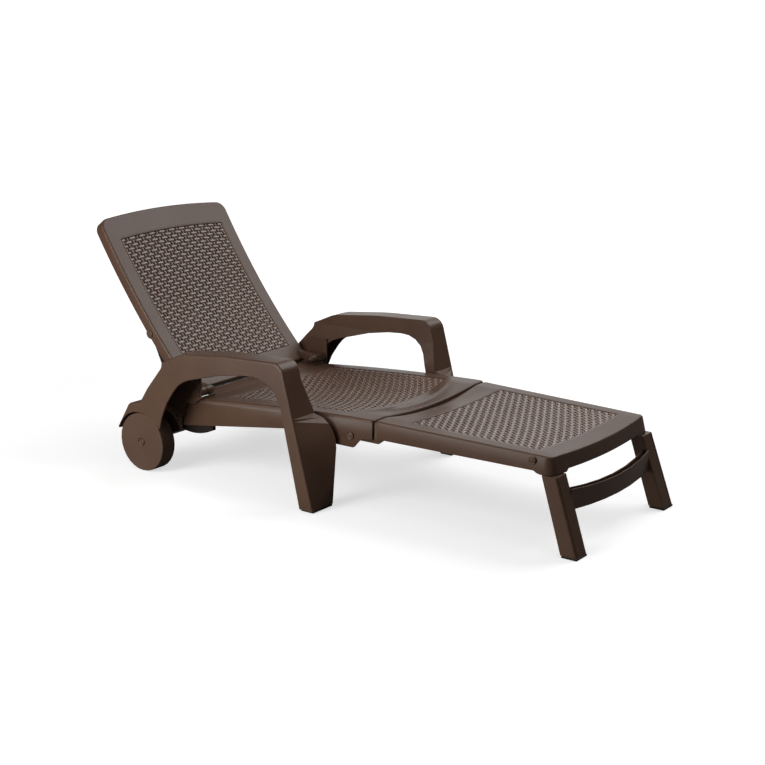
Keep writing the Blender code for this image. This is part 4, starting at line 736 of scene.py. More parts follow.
def finish_panel(name, body, pieces, field, place):
    """Join the pieces of a panel, and make its weave as a piece of its own."""
    for piece in pieces:
        shade(piece)
    skin = weave_skin(name + "_weave", field, place)
    shade(skin, WEAVE_SHADE_ANGLE)
    panel = join(pieces, "dressed_" + name)
    weave = join([skin], "dressed_%s_weave" % name)
    finish_piece(panel, [name + "_panel"], body, "smooth_brown")
    finish_piece(weave, [], body, "woven_brown")


# Weave

def weave_height(along, across, depth):
    """Height of the weave over its floor: a strand or a stake, whichever is on top."""
    row = math.floor(along / STRAND_PITCH)
    from_middle = (along / STRAND_PITCH - row - 0.5) * 2 / STRAND_FILL_SHARE
    nearest = round(across / STAKE_PITCH)
    over = nearest
    if (nearest + row) % 2 == 0:
        over += 1 if across > nearest * STAKE_PITCH else -1
    away = abs(across - over * STAKE_PITCH)
    rise = STEEP_RISE_SHARE * smooth(between(away, DIVE_START, DIVE_END))
    rise += (1 - STEEP_RISE_SHARE) * smooth(between(away, DIVE_START, STAKE_PITCH))
    strand = depth * rise * mix(STRAND_RIM_SHARE, 1, arch(from_middle, 1) ** STRAND_CROWN_POWER)
    off = (across - nearest * STAKE_PITCH) / STAKE_HALF_WIDTH
    stake = 0
    if abs(off) < 1:
        wave = -math.cos(math.pi * (along / STRAND_PITCH - 0.5)) * (1 if nearest % 2 == 0 else -1)
        stake = depth * (STAKE_MIDDLE_SHARE + STAKE_WAVE_SHARE * wave)
        stake += depth * STAKE_ROUND_SHARE * (math.sqrt(1 - off * off) - 1)
    return max(strand, stake, 0)


def weave_skin(name, field, place):
    """The woven field: a fine grid raised by the weave, its rim sunk, and its low places marked in a mask
    for painted shade and roughness.
    """
    rear, front, half = field
    depth = sizes().weave_depth
    count_along = round((front - rear) / STRAND_PITCH * STRAND_POINTS)
    count_across = round(2 * half / STAKE_PITCH * STAKE_POINTS)
    along = [mix(rear, front, step / count_along) for step in range(count_along + 1)]
    across = [mix(-half, half, step / count_across) for step in range(count_across + 1)]
    piece = flat_grid(name, along, across)
    hollow = piece.data.attributes.new("hollow", "FLOAT", "POINT")
    for index, vert in enumerate(piece.data.vertices):
        height = weave_height(vert.co.x - rear, vert.co.y, depth)
        rim = min(vert.co.x - rear, front - vert.co.x, half - abs(vert.co.y)) / SKIN_EDGE
        height = mix(-SKIN_SINK, height, smooth(rim))
        # The hollow mask: where the weave lies low, the finish paints shade into its colour
        hollow.data[index].value = smooth(between(height / depth, HOLLOW_TOP_SHARE, HOLLOW_FLOOR_SHARE))
        vert.co.z = height - FIELD_RECESS
    return bend(piece, place)


# Seat shape

def seat_share(x):
    return between(x, SEAT_REAR_X, SEAT_FRONT_X)


def seat_border_z(x):
    share = seat_share(x)
    return mix(SEAT_REAR_Z, SEAT_FRONT_Z, share) + 4 * SEAT_CROWN * share * (1 - share)


def scoop(y):
    return arch(y, SCOOP_HALF)


def seat_dip(x, y):
    """How deep the seat is dished at a place of its blank: up to the crest, then down to the seam."""
    share = seat_share(x)
    if x <= SEAT_FIELD_FRONT_X:
        rise = smooth(between(share, DISH_END_SHARE, seat_share(SEAT_FIELD_FRONT_X)))
        deep = mix(SEAT_DISH, SEAT_FIELD_FRONT_DIP, rise)
    elif x <= CREST_X:
        deep = mix(SEAT_FIELD_FRONT_DIP, CREST_DIP, between(x, SEAT_FIELD_FRONT_X, CREST_X))
    elif x <= CREST_FOOT_X:
        deep = mix(CREST_DIP, CREST_FOOT_DIP, between(x, CREST_X, CREST_FOOT_X))
    else:
        deep = mix(CREST_FOOT_DIP, SEAM_DIP, min(1, between(x, CREST_FOOT_X, SEAT_ROLL_X)))
    return deep * smooth(share / DISH_START_SHARE) * scoop(y)


def seat_bow(x, y):
    """How far a line across the blank bows forward: the woven field's edge a little, the crest more."""
    if x <= SEAT_FIELD_FRONT_X:
        reach = SEAT_FIELD_BOW * smooth(seat_share(x) / BOW_SHARE)
    elif x <= CREST_X:
        reach = mix(SEAT_FIELD_BOW, CREST_BOW, between(x, SEAT_FIELD_FRONT_X, CREST_X))
    else:
        reach = CREST_BOW * max(0, between(x, SEAT_ROLL_X, CREST_X))
    return reach * scoop(y)


def on_crest(co):
    """Whether a place of the bent seat is on the crest or on its foot."""
    x = co.x - HINGE_X
    if abs(co.y) > SCOOP_HALF:
        return False
    return any(abs(x - line - seat_bow(line, co.y)) < LINE_REACH for line in (CREST_X, CREST_FOOT_X))


def seat_half(x):
    return mix(SEAT_REAR_HALF, SEAT_FRONT_HALF, seat_share(x))


def seat_place(co):
    y = co.y * seat_half(co.x) / SEAT_REAR_HALF
    x = co.x + seat_bow(co.x, y)
    return Vector((HINGE_X + x, y, seat_border_z(x) - seat_dip(co.x, y) + co.z))


def seat_skirt_outline():
    top = ROLL_DEPTH / 2
    upper = [mix(SEAT_FRONT_X, SEAT_REAR_X, step / SKIRT_STEPS) for step in range(SKIRT_STEPS + 1)]
    corners = [
        (CHEEK_REAR_X, CHEEK_BOTTOM_Z, ROLL_RADIUS / 2),
        (SKIRT_MIDDLE_X, SKIRT_MIDDLE_Z, ROLL_RADIUS),
        (LOBE_REAR_X, FOOTREST_PIN_Z - LOBE_DEPTH, ROLL_RADIUS),
        (FOOTREST_PIN_X + PIN_HEAD_RADIUS, FOOTREST_PIN_Z - LOBE_DEPTH, 2 * ROLL_RADIUS),
        (LOBE_FRONT_X, SKIRT_FRONT_Z - ROLL_RADIUS, ROLL_RADIUS),
        (SEAT_FRONT_X, SKIRT_FRONT_Z, ROLL_RADIUS / 2),
    ]
    corners += [(x, seat_border_z(x) - top, 0) for x in upper]
    corners += [(SEAT_REAR_X - ROLL_RADIUS / 2, CHEEK_CROWN_Z, ROLL_RADIUS / 3),
                (CHEEK_CROWN_X, CHEEK_CROWN_Z, ROLL_RADIUS),
                (CHEEK_SHOULDER_X, CHEEK_SHOULDER_Z, ROLL_RADIUS),
                (CHEEK_REAR_X, CHEEK_TOP_Z + CHEEK_RISE, ROLL_RADIUS)]
    return fillet(corners)


def skirt_outer_y(x, z):
    return seat_half(x) + SKIRT_DRAFT_SHARE * (seat_border_z(x) - z)


def seat_rear_lip():
    """The narrow ledge between the ears of the back, which closes most of the gap behind the seat."""
    front = SEAT_REAR_X + 2 * ROLL_RADIUS
    top = seat_border_z(front) - PANEL_WALL / 4
    outline = fillet([
        (front, top, 0), (front, top - PANEL_WALL, 0),
        (REAR_LIP_X, top + REAR_LIP_RISE - PANEL_WALL, PANEL_WALL / 2 - GAP),
        (REAR_LIP_X, top + REAR_LIP_RISE, PANEL_WALL / 2 - GAP)])
    return plate("seat_rear_lip", outline, -REAR_LIP_HALF, REAR_LIP_HALF)


# Footrest shape

def footrest_share(x):
    return between(x, FOOTREST_REAR_X, FOOTREST_FRONT_X)


def footrest_half(x):
    return mix(FOOTREST_REAR_HALF, FOOTREST_FRONT_HALF, footrest_share(x))


def footrest_border_z(x):
    return mix(FOOTREST_REAR_Z, FOOTREST_FRONT_Z, footrest_share(x))


def footrest_dip(x, y):
    """How deep the footrest is dished: from the seam up to a lip, then on to the flat field."""
    if x < LIP_X:
        deep = mix(FOOTREST_SEAM_DIP, LIP_DIP, between(x, FOOTREST_REAR_X, LIP_X))
    else:
        rise = smooth(between(footrest_share(x), footrest_share(LIP_X), SEAM_SHARE))
        deep = mix(LIP_DIP, FOOTREST_DISH, rise)
    return deep * scoop(y)


def footrest_place(co):
    y = co.y * footrest_half(co.x) / FOOTREST_REAR_HALF
    x = co.x + FOOTREST_BOW * smooth(footrest_share(co.x)) * arch(co.y, FOOTREST_REAR_HALF)
    return Vector((HINGE_X + x, y, footrest_border_z(x) - footrest_dip(x, y) + co.z))


def footrest_bottom_z(x, y):
    if x > FOOTREST_FRONT_X - ROLL_RADIUS and abs(y) < FOOTREST_REAR_HALF - 4 * FOOTREST_CORNER:
        return FOOTREST_SKIRT_Z
    corner = (x - (FOOTREST_FRONT_X - FOOTREST_CORNER_LENGTH)) / FOOTREST_CORNER
    return mix(FOOTREST_SKIRT_Z, FOOTREST_CORNER_Z, smooth(corner))


def footrest_draft(x):
    return mix(FOOTREST_REAR_DRAFT_SHARE, FOOTREST_FRONT_DRAFT_SHARE, footrest_share(x))


def footrest_skirt_down(co):
    if co.x < FOOTREST_REAR_X + ROLL_RADIUS / 2 and abs(co.y) < SCOOP_HALF:
        return ROLL_DEPTH - ROLL_RADIUS
    return footrest_border_z(co.x) - ROLL_RADIUS - footrest_bottom_z(co.x, co.y)


def footrest_skirt_out(co):
    if co.x < FOOTREST_REAR_X + ROLL_RADIUS:
        return 0
    return footrest_skirt_down(co) * footrest_draft(co.x)


def footrest_outer_y(x, z):
    """The outer face of the footrest's skirt."""
    return footrest_half(x) + footrest_draft(x) * (footrest_border_z(x) - ROLL_RADIUS - z)


def tongue_outline():
    """The hinge tongue under the footrest's rear: round at the pin, with a root under the panel."""
    under = footrest_border_z(TONGUE_ROOT_X) - PANEL_WALL / 2
    rear = FOOTREST_REAR_X + PANEL_WALL + ROLL_RADIUS
    outline = arc(FOOTREST_PIN_X, FOOTREST_PIN_Z, TONGUE_RADIUS,
                  TONGUE_START_ANGLE, TONGUE_END_ANGLE, ARC_STEPS)
    corners = [(rear, FOOTREST_PIN_Z - TONGUE_RADIUS), (TONGUE_ROOT_X, under - RIB_DEPTH),
               (TONGUE_ROOT_X, under), (rear, footrest_border_z(rear) - PANEL_WALL / 2),
               (rear, FOOTREST_PIN_Z + TONGUE_RADIUS + ROLL_RADIUS)]
    return outline + [Vector(corner) for corner in corners]


def cheek_outline():
    """The cheek that closes the rear end of the footrest's skirt."""
    rear, front = FOOTREST_REAR_X + GAP, FOOTREST_REAR_X + 2 * ROLL_RADIUS
    return fillet([(rear, FOOTREST_SKIRT_Z, GAP), (front, FOOTREST_SKIRT_Z, 0),
                   (front, FOOTREST_REAR_Z - ROLL_RADIUS, 0),
                   (rear, FOOTREST_REAR_Z - ROLL_RADIUS / 2, ROLL_RADIUS / 2)])


# Backrest shape

def back_face(along):
    """Height of the back's face when it lies flat, curved between its foot and its top."""
    hollow = 4 * BACK_SAG / (BACK_LENGTH - BACK_CHORD_FOOT) ** 2
    return -BACK_OFFSET - hollow * (along - BACK_CHORD_FOOT) * (BACK_LENGTH - along)


def back_share(along):
    return between(along, BACK_FOOT, BACK_LENGTH)


def back_half(along):
    return mix(BACK_FOOT_HALF, BACK_TOP_HALF, back_share(along))


def raised(x, y, z):
    """From the back lying flat behind the hinge to its place in the frame."""
    return Vector((HINGE_X + x * math.cos(BACK_ANGLE) + z * math.sin(BACK_ANGLE), y,
                   HINGE_Z - x * math.sin(BACK_ANGLE) + z * math.cos(BACK_ANGLE)))


def back_place(co):
    y = co.y * back_half(-co.x) / BACK_TOP_HALF
    bow = BACK_BOW * smooth(back_share(-co.x)) * arch(co.y, BACK_TOP_HALF)
    return raised(co.x - bow, y, back_face(-co.x) + co.z)


def raise_piece(piece):
    return bend(piece, lambda co: raised(*co))


def stay_pin_flat():
    """Where the stay pin sits on the back when that lies flat."""
    rise = STAY_PIN_Z - HINGE_Z
    return (STAY_PIN_X * math.cos(BACK_ANGLE) - rise * math.sin(BACK_ANGLE),
            STAY_PIN_X * math.sin(BACK_ANGLE) + rise * math.cos(BACK_ANGLE))


def ear_outline():
    """The hinge ear of the back: round at the hinge, with a root under the panel's foot."""
    front = BACK_FOOT + ROLL_RADIUS
    outline = arc(0, 0, KNUCKLE_RADIUS, KNUCKLE_START_ANGLE, KNUCKLE_END_ANGLE, 2 * ARC_STEPS)
    outline += [Vector((-along, back_face(along) - PANEL_WALL / 2))
                for along in (front, front + 2 * KNUCKLE_RADIUS)]
    return outline


# Finishes

def socket(group, name, kind, direction, value=None):
    made = group.interface.new_socket(name=name, in_out=direction, socket_type=kind)
    if value is not None:
        made.default_value = value


def feed(tree, entry, value):
    """Link a socket to an input, or set a plain value on it."""
    if isinstance(value, bpy.types.NodeSocket):
        tree.links.new(value, entry)
    else:
        entry.default_value = value


def add_node(tree, kind, inputs=None, **settings):
    """A node with its settings, then its inputs, each fed by a socket or a plain value."""
    node = tree.nodes.new(kind)
    for name, value in settings.items():
        setattr(node, name, value)
    for name, value in (inputs or {}).items():
        feed(tree, node.inputs[name], value)
    return node


def calculate(tree, operation, *values):
    return add_node(tree, "ShaderNodeMath", dict(enumerate(values)), operation=operation).outputs["Value"]


def noise(tree, vector, scale, detail):
    made = add_node(tree, "ShaderNodeTexNoise", {"Vector": vector, "Scale": scale, "Detail": detail})
    return made.outputs["Fac"]


def grain_group():
    """Fine moulded grain with slow clouds: a tint mask and a height."""
    group = bpy.data.node_groups.new("moulded_grain", "ShaderNodeTree")
    socket(group, "Vector", "NodeSocketVector", "INPUT")
    socket(group, "Grain Scale", "NodeSocketFloat", "INPUT", GRAIN_SCALE)
    socket(group, "Cloud Scale", "NodeSocketFloat", "INPUT", CLOUD_SCALE)
    socket(group, "Tint", "NodeSocketFloat", "OUTPUT")
    socket(group, "Height", "NodeSocketFloat", "OUTPUT")
    enter = add_node(group, "NodeGroupInput").outputs
    grain = noise(group, enter["Vector"], enter["Grain Scale"], GRAIN_DETAIL)
    cloud = noise(group, enter["Vector"], enter["Cloud Scale"], CLOUD_DETAIL)
    spread = add_node(group, "ShaderNodeMapRange",
                      {"Value": cloud, "From Min": CLOUD_LOW, "From Max": CLOUD_HIGH})
    add_node(group, "NodeGroupOutput", {"Tint": spread.outputs["Result"], "Height": grain})


def dust_group():
    """A thin film of dust on what faces up, patchy and stronger in places."""
    group = bpy.data.node_groups.new("settled_dust", "ShaderNodeTree")
    socket(group, "Vector", "NodeSocketVector", "INPUT")
    socket(group, "Scale", "NodeSocketFloat", "INPUT", DUST_SCALE)
    socket(group, "Dust", "NodeSocketFloat", "OUTPUT")
    enter = add_node(group, "NodeGroupInput").outputs
    normal = add_node(group, "ShaderNodeNewGeometry").outputs["Normal"]
    split = add_node(group, "ShaderNodeSeparateXYZ", {"Vector": normal})
    upward = add_node(group, "ShaderNodeMapRange",
                      {"Value": split.outputs["Z"], "From Min": DUST_SLOPE, "From Max": 1})
    patch = noise(group, enter["Vector"], enter["Scale"], DUST_DETAIL)
    both = calculate(group, "MULTIPLY", upward.outputs["Result"], patch)
    add_node(group, "NodeGroupOutput", {"Dust": both})


def toned(colour, share):
    """A colour made darker or lighter, with its alpha."""
    return (*[channel * share for channel in colour], 1)


def mix_colour(tree, share, first, second):
    """A colour between two others; each may be a socket or a plain colour."""
    node = add_node(tree, "ShaderNodeMix", data_type="RGBA")
    for name, value in (("Factor", share), ("A", first), ("B", second)):
        feed(tree, [found for found in node.inputs if found.name == name and found.enabled][0], value)
    return [found for found in node.outputs if found.enabled][0]


def grained_material(name, scales):
    """A new material with its tree, its coordinates and the moulded grain."""
    material = bpy.data.materials.new(name)
    material.use_nodes = True
    tree = material.node_tree
    place = add_node(tree, "ShaderNodeTexCoord").outputs["Object"]
    grained = add_node(tree, "ShaderNodeGroup", {"Vector": place, **scales},
                       node_tree=bpy.data.node_groups["moulded_grain"])
    return tree, place, grained.outputs


def coat(tree, tone, rough, height, strength, distance):
    """Give the shader its colour, roughness and fine relief."""
    shader = tree.nodes["Principled BSDF"]
    bump = add_node(tree, "ShaderNodeBump",
                    {"Strength": strength, "Distance": distance, "Height": height})
    feed(tree, shader.inputs["Base Color"], tone)
    feed(tree, shader.inputs["Roughness"], rough)
    feed(tree, shader.inputs["Normal"], bump.outputs["Normal"])
    return shader


def resin(name, colour, roughness, grain, dust, woven=False):
    """Moulded resin: slow tint, fine grain, a little dust, and in the weave painted shade in its low
    places, rougher low places and fine cane lines.
    """
    tree, place, grained = grained_material(name, {})
    dusty = add_node(tree, "ShaderNodeGroup", {"Vector": place},
                     node_tree=bpy.data.node_groups["settled_dust"]).outputs["Dust"]
    tint, height = grained["Tint"], grained["Height"]
    tone = mix_colour(tree, tint, toned(colour, DARK_TINT_SHARE), toned(colour, LIGHT_TINT_SHARE))
    rough = calculate(tree, "MULTIPLY_ADD", tint, TINT_ROUGHNESS, roughness - TINT_ROUGHNESS / 2)
    if woven:
        hollow = add_node(tree, "ShaderNodeAttribute", attribute_name="hollow").outputs["Fac"]
        # Painted shade: where the weave lies low, its colour goes nearly black, as shade falls there
        painted_shade = calculate(tree, "MULTIPLY", hollow, HOLLOW_SHADE_COVER_SHARE)
        tone = mix_colour(tree, painted_shade, tone, toned(colour, HOLLOW_SHADE_SHARE))
        rough = calculate(tree, "MAXIMUM", rough, hollow)
        stretch = add_node(tree, "ShaderNodeMapping", {"Vector": place, "Scale": CANE_STRETCH})
        cane = noise(tree, stretch.outputs["Vector"], CANE_SCALE, CANE_DETAIL)
        height = calculate(tree, "ADD", height, cane)
    film = calculate(tree, "MULTIPLY", dusty, dust)
    dusted = [mix(channel, DUST_TONE, DUST_MIX_SHARE) for channel in colour]
    tone = mix_colour(tree, film, tone, (*dusted, 1))
    shader = coat(tree, tone, rough, height, grain, RESIN_RELIEF)
    shader.inputs["Specular IOR Level"].default_value = WOVEN_SPECULAR if woven else SMOOTH_SPECULAR


def steel(name, colour):
    """Zinc plated steel, finely grained and cloudy."""
    scales = {"Grain Scale": STEEL_GRAIN_SCALE, "Cloud Scale": STEEL_CLOUD_SCALE}
    tree, _, grained = grained_material(name, scales)
    tone = mix_colour(tree, grained["Tint"], toned(colour, STEEL_DARK_SHARE), toned(colour, 1))
    rough = calculate(tree, "MULTIPLY_ADD", grained["Tint"], STEEL_TINT_ROUGHNESS, STEEL_ROUGHNESS)
    shader = coat(tree, tone, rough, grained["Height"], STEEL_GRAIN, STEEL_RELIEF)
    shader.inputs["Metallic"].default_value = 1


# What a user would change

class LoungerSizes(bpy.types.PropertyGroup):
    weave_depth: FloatProperty(name="Weave depth", description="Height of the woven relief",
                               default=0.0040, min=0.001, max=0.0045, unit="LENGTH")
    edge_softness: FloatProperty(name="Edge softness", description="Rounding of the moulded edges",
                                 default=0.0006, min=0.0002, max=0.001, unit="LENGTH")


class LoungerColours(bpy.types.PropertyGroup):
    resin: FloatVectorProperty(name="Resin", description="Brown of the panels, arms and legs",
                               default=(0.100, 0.055, 0.035), size=3, subtype="COLOR")
    dark_resin: FloatVectorProperty(name="Dark resin", description="Racks, stay and foot pads",
                                    default=(0.010, 0.006, 0.004), size=3, subtype="COLOR")
    wheel_resin: FloatVectorProperty(name="Wheel resin", description="Wheels, caps and pins",
                                     default=(0.104, 0.060, 0.040), size=3, subtype="COLOR")
    steel: FloatVectorProperty(name="Steel", description="Axle, washers and screws",
                               default=(0.56, 0.56, 0.57), size=3, subtype="COLOR")
    floor: FloatVectorProperty(name="Floor", description="Pale floor under the lounger",
                               default=(0.20, 0.20, 0.20), size=3, subtype="COLOR")


def sizes():
    return bpy.context.scene.lounger_sizes


def colours():
    return bpy.context.scene.lounger_colours


class LOUNGER_OT_finishes(bpy.types.Operator):
    """Make the finishes of the lounger"""
    bl_idname = "lounger.finishes"
    bl_label = "Finishes"

    def execute(self, context):
        grain_group()
        dust_group()
        tones = colours()
        # Painted light: the weave's colour is the smooth resin made lighter
        woven = [WOVEN_LIGHT_GAIN * channel for channel in tones.resin]
        resin("smooth_brown", tones.resin, roughness=0.34, grain=0.20, dust=0.015)
        resin("woven_brown", woven, roughness=0.26, grain=0.12, dust=0.01, woven=True)
        resin("dark_brown", tones.dark_resin, roughness=0.48, grain=0.30, dust=0.02)
        resin("wheel_brown", tones.wheel_resin, roughness=0.46, grain=0.35, dust=0.04)
        resin("polished_brown", tones.wheel_resin, roughness=0.20, grain=0.12, dust=0.02)
        steel("zinc_plate", tones.steel)
        return {"FINISHED"}


class LOUNGER_OT_seat(bpy.types.Operator):
    """Model the dished seat with its woven field, skirts and ribs"""
    bl_idname = "lounger.seat"
    bl_label = "Seat"

    def execute(self, context):
        half = SEAT_REAR_HALF - ROLL_RADIUS
        low, high = SEAT_REAR_X + ROLL_RADIUS, SEAT_ROLL_X
        along = lines([low, low + SEAT_CORNER, *field_stops(SEAT_FIELD), CREST_X, CREST_FOOT_X,
                       high - SEAT_CORNER, high], SHELL_STEP)
        across = lines_across(SEAT_FIELD, half, SEAT_CORNER, SEAT_CORNER_STEPS)
        blank = (low, high, half, SEAT_CORNER, SEAT_CORNER)
        drop = (lambda place: 0, lambda place: ROLL_DEPTH - ROLL_RADIUS)
        pieces = [panel_shell("seat_shell", along, across, blank, SEAT_FIELD, drop, seat_place, on_crest)]
        web_top = SEAT_FRONT_Z - ROLL_DEPTH + PANEL_WALL
        web_outline = upright(SEAT_FRONT_X - GAP - PANEL_WALL, WEB_BOTTOM_Z, web_top)
        upstand_outline = upright(UPSTAND_X, UPSTAND_LOW_Z, UPSTAND_TOP_Z, PANEL_WALL / 3)
        for hand, side in HANDS:
            skirt = side_sheet("seat_skirt_" + hand, seat_skirt_outline(), skirt_outer_y, side)
            soften(skirt, sizes().edge_softness)
            web = plate("seat_front_web_" + hand, web_outline, side * WEB_INNER_Y, side * WEB_OUTER_Y)
            upstand = plate("seat_upstand_" + hand, upstand_outline,
                            side * UPSTAND_INNER_Y, side * UPSTAND_OUTER_Y)
            pieces += [move_piece(made) for made in (skirt, web, upstand)]
        pieces.append(move_piece(seat_rear_lip()))
        pieces += [move_piece(made) for made in ribs(
            "seat", SEAT_RIB_SHARES, SEAT_FIELD, SEAT_FIELD_HALF - FIELD_STEP,
            lambda x, y: seat_border_z(x) - seat_dip(x, y))]
        finish_panel("seat", "base", pieces, SEAT_FIELD, seat_place)
        return {"FINISHED"}


class LOUNGER_OT_footrest(bpy.types.Operator):
    """Model the footrest with its woven field, skirts, tongues and ribs"""
    bl_idname = "lounger.footrest"
    bl_label = "Footrest"

    def execute(self, context):
        half = FOOTREST_REAR_HALF - ROLL_RADIUS
        low, high = FOOTREST_REAR_X + ROLL_RADIUS, FOOTREST_FRONT_X - ROLL_RADIUS
        tight, wide = ROLL_RADIUS / 2, FOOTREST_CORNER - ROLL_RADIUS
        along = lines([low, low + tight, LIP_X, *field_stops(FOOTREST_FIELD), high - wide], SHELL_STEP)
        along += lines([high - wide, high], wide / FOOTREST_CORNER_STEPS)[1:]
        across = lines_across(FOOTREST_FIELD, half, wide, FOOTREST_CORNER_STEPS)
        blank = (low, high, half, tight, wide)
        flare = (footrest_skirt_out, footrest_skirt_down)
        pieces = [panel_shell("footrest_shell", along, across, blank, FOOTREST_FIELD, flare,
                              footrest_place)]
        lobe_inner = skirt_outer_y(FOOTREST_PIN_X, FOOTREST_PIN_Z) - PANEL_WALL - GAP
        tongue_outer = FOOTREST_REAR_HALF - PANEL_WALL - SLIDE_GAP
        pin_seat = footrest_outer_y(LEG_PIN_X, LEG_PIN_Z - LEG_HEAD_RADIUS)
        for hand, side in HANDS:
            tongue = plate("footrest_tongue_" + hand, tongue_outline(),
                           side * (tongue_outer - TONGUE_THICKNESS), side * tongue_outer)
            soften(tongue, sizes().edge_softness)
            knuckle = barrel("footrest_knuckle_" + hand, TONGUE_RADIUS - SLIDE_GAP,
                             HINGE_X + FOOTREST_PIN_X, FOOTREST_PIN_Z,
                             side * (tongue_outer - TONGUE_THICKNESS / 2),
                             side * (lobe_inner - SLIDE_GAP))
            lobe = barrel("leg_pin_seat_" + hand, LEG_HEAD_RADIUS, HINGE_X + LEG_PIN_X, LEG_PIN_Z,
                          side * (pin_seat - PANEL_WALL), side * pin_seat, LOBE_EDGE)
            cheek = side_sheet("footrest_cheek_" + hand, cheek_outline(), footrest_outer_y, side)
            pieces += [move_piece(tongue), knuckle, lobe, move_piece(cheek)]
        pieces += [move_piece(made) for made in ribs(
            "footrest", FOOTREST_RIB_SHARES, FOOTREST_FIELD, FOOTREST_RIB_HALF,
            lambda x, y: footrest_border_z(x) - footrest_dip(x, y))]
        finish_panel("footrest", "footrest", pieces, FOOTREST_FIELD, footrest_place)
        return {"FINISHED"}


class LOUNGER_OT_backrest(bpy.types.Operator):
    """Model the backrest with its woven field, skirts, ears and ribs"""
    bl_idname = "lounger.backrest"
    bl_label = "Backrest"

    def execute(self, context):
        half = BACK_TOP_HALF - ROLL_RADIUS
        low, high = -BACK_LENGTH + ROLL_RADIUS, -BACK_FOOT - ROLL_RADIUS
        wide, tight = BACK_CORNER - ROLL_RADIUS, ROLL_RADIUS
        along = lines([low, low + wide], wide / BACK_CORNER_STEPS)
        along += lines([low + wide, *field_stops(BACK_FIELD), high - tight], SHELL_STEP)[1:]
        along += lines([high - tight, high], tight / BACK_FOOT_STEPS)[1:]
        across = lines_across(BACK_FIELD, half, wide, BACK_CORNER_STEPS)
        blank = (low, high, half, wide, tight)
        drop = (lambda place: 0, lambda place: BACK_SKIRT - ROLL_RADIUS)
        pieces = [panel_shell("back_shell", along, across, blank, BACK_FIELD, drop, back_place)]
        pin_x, pin_z = stay_pin_flat()
        skirt = back_half(-pin_x)
        for hand, side in HANDS:
            ear = plate("back_ear_" + hand, ear_outline(), side * KNUCKLE_INNER_Y, side * KNUCKLE_OUTER_Y)
            soften(ear, sizes().edge_softness)
            lobe = barrel("stay_lobe_" + hand, STAY_HEAD_RADIUS + PANEL_WALL, pin_x, pin_z,
                          side * (skirt - PANEL_WALL), side * skirt, LOBE_EDGE)
            boss = barrel("stay_boss_" + hand, STAY_EYE_RADIUS, pin_x, pin_z,
                          side * (STAY_OUTER_Y + GAP), side * (skirt - PANEL_WALL / 2))
            pieces += [raise_piece(made) for made in (ear, lobe, boss)]
        pieces += [raise_piece(made) for made in ribs(
            "back", BACK_RIB_SHARES, BACK_FIELD, BACK_FIELD_HALF - FIELD_STEP,
            lambda x, y: back_face(-x))]
        finish_panel("backrest", "backrest", pieces, BACK_FIELD, back_place)
        return {"FINISHED"}


def carried(node, body, finish, softness, angle=CARRIED_SHADE_ANGLE, trims=()):
    """A merged and softened copy of a CAD node that has the right shape, with any trims of it."""
    pick(frame["nodes"][node])
    bpy.ops.object.duplicate()
    piece = bpy.context.object
    bpy.ops.object.parent_clear(type="CLEAR_KEEP_TRANSFORM")
    piece.name = "dressed_" + node
    piece.data.name = piece.name
    edit_all(piece)
    bpy.ops.mesh.remove_doubles(threshold=MERGE)
    bpy.ops.mesh.dissolve_limited(angle_limit=math.radians(FLAT_ANGLE))
    leave_edit()
    if softness:
        soften(piece, softness)
    piece = join([piece, *trims], "dressed_" + node)
    shade(piece, angle)
    even = piece.modifiers.new("even_shading", "WEIGHTED_NORMAL")
    even.keep_sharp = True
    apply_modifiers(piece)
    finish_piece(piece, [node], body, finish)


def capped(node, body, radius, side):
    """A pin or a cap with its turned head."""
    head = turned_head(node, radius, side)
    carried(node, body, "polished_brown", 0, trims=[head])


class LOUNGER_OT_arms(bpy.types.Operator):
    """Soften both arms, with their wheel arches and middle legs"""
    bl_idname = "lounger.arms"
    bl_label = "Arms"

    def execute(self, context):
        for hand, _ in HANDS:
            carried("arm_" + hand, "base", "smooth_brown", sizes().edge_softness)
            carried("middle_foot_pad_" + hand, "base", "dark_brown", 0)
            for where in ("rear", "middle"):
                carried("%s_arm_screw_%s" % (where, hand), "base", "zinc_plate", SCREW_EDGE)
        return {"FINISHED"}


class LOUNGER_OT_front_legs(bpy.types.Operator):
    """Soften the front leg frame and its foot pads"""
    bl_idname = "lounger.front_legs"
    bl_label = "Front legs"

    def execute(self, context):
        carried("front_leg_frame", "front_legs", "smooth_brown", sizes().edge_softness)
        for hand, side in HANDS:
            carried("front_foot_pad_" + hand, "front_legs", "dark_brown", 0)
            capped("leg_pin_" + hand, "footrest", LEG_HEAD_RADIUS, side)
            capped("footrest_pin_" + hand, "base", PIN_HEAD_RADIUS, side)
        return {"FINISHED"}


class LOUNGER_OT_wheels(bpy.types.Operator):
    """Soften the wheels, hub caps, washers and axle"""
    bl_idname = "lounger.wheels"
    bl_label = "Wheels"

    def execute(self, context):
        for hand, side in HANDS:
            ring = hub_ring("wheel_" + hand, "hub_cap_" + hand, side)
            carried("wheel_" + hand, "wheel_" + hand, "wheel_brown", WHEEL_EDGE,
                    trims=[ring])
            capped("hub_cap_" + hand, "base", HUB_CAP_RADIUS, side)
            carried("axle_washer_" + hand, "base", "zinc_plate", SCREW_EDGE)
        carried("wheel_axle", "base", "zinc_plate", AXLE_EDGE)
        return {"FINISHED"}


class LOUNGER_OT_recline_gear(bpy.types.Operator):
    """Soften the recline pins, racks, stay and stay pins"""
    bl_idname = "lounger.recline_gear"
    bl_label = "Recline gear"

    def execute(self, context):
        for hand, side in HANDS:
            carried("recline_pin_" + hand, "base", "polished_brown", PIN_EDGE,
                    DOME_SHADE_ANGLE)
            web = rack_web("recline_rack_" + hand, side)
            carried("recline_rack_" + hand, "base", "dark_brown", RACK_EDGE, trims=[web])
            capped("stay_pin_" + hand, "backrest", STAY_HEAD_RADIUS, side)
        carried("back_stay", "back_stay", "dark_brown", STAY_EDGE)
        return {"FINISHED"}


# Stage: pale floor, soft studio light, and the camera at the photograph's angle

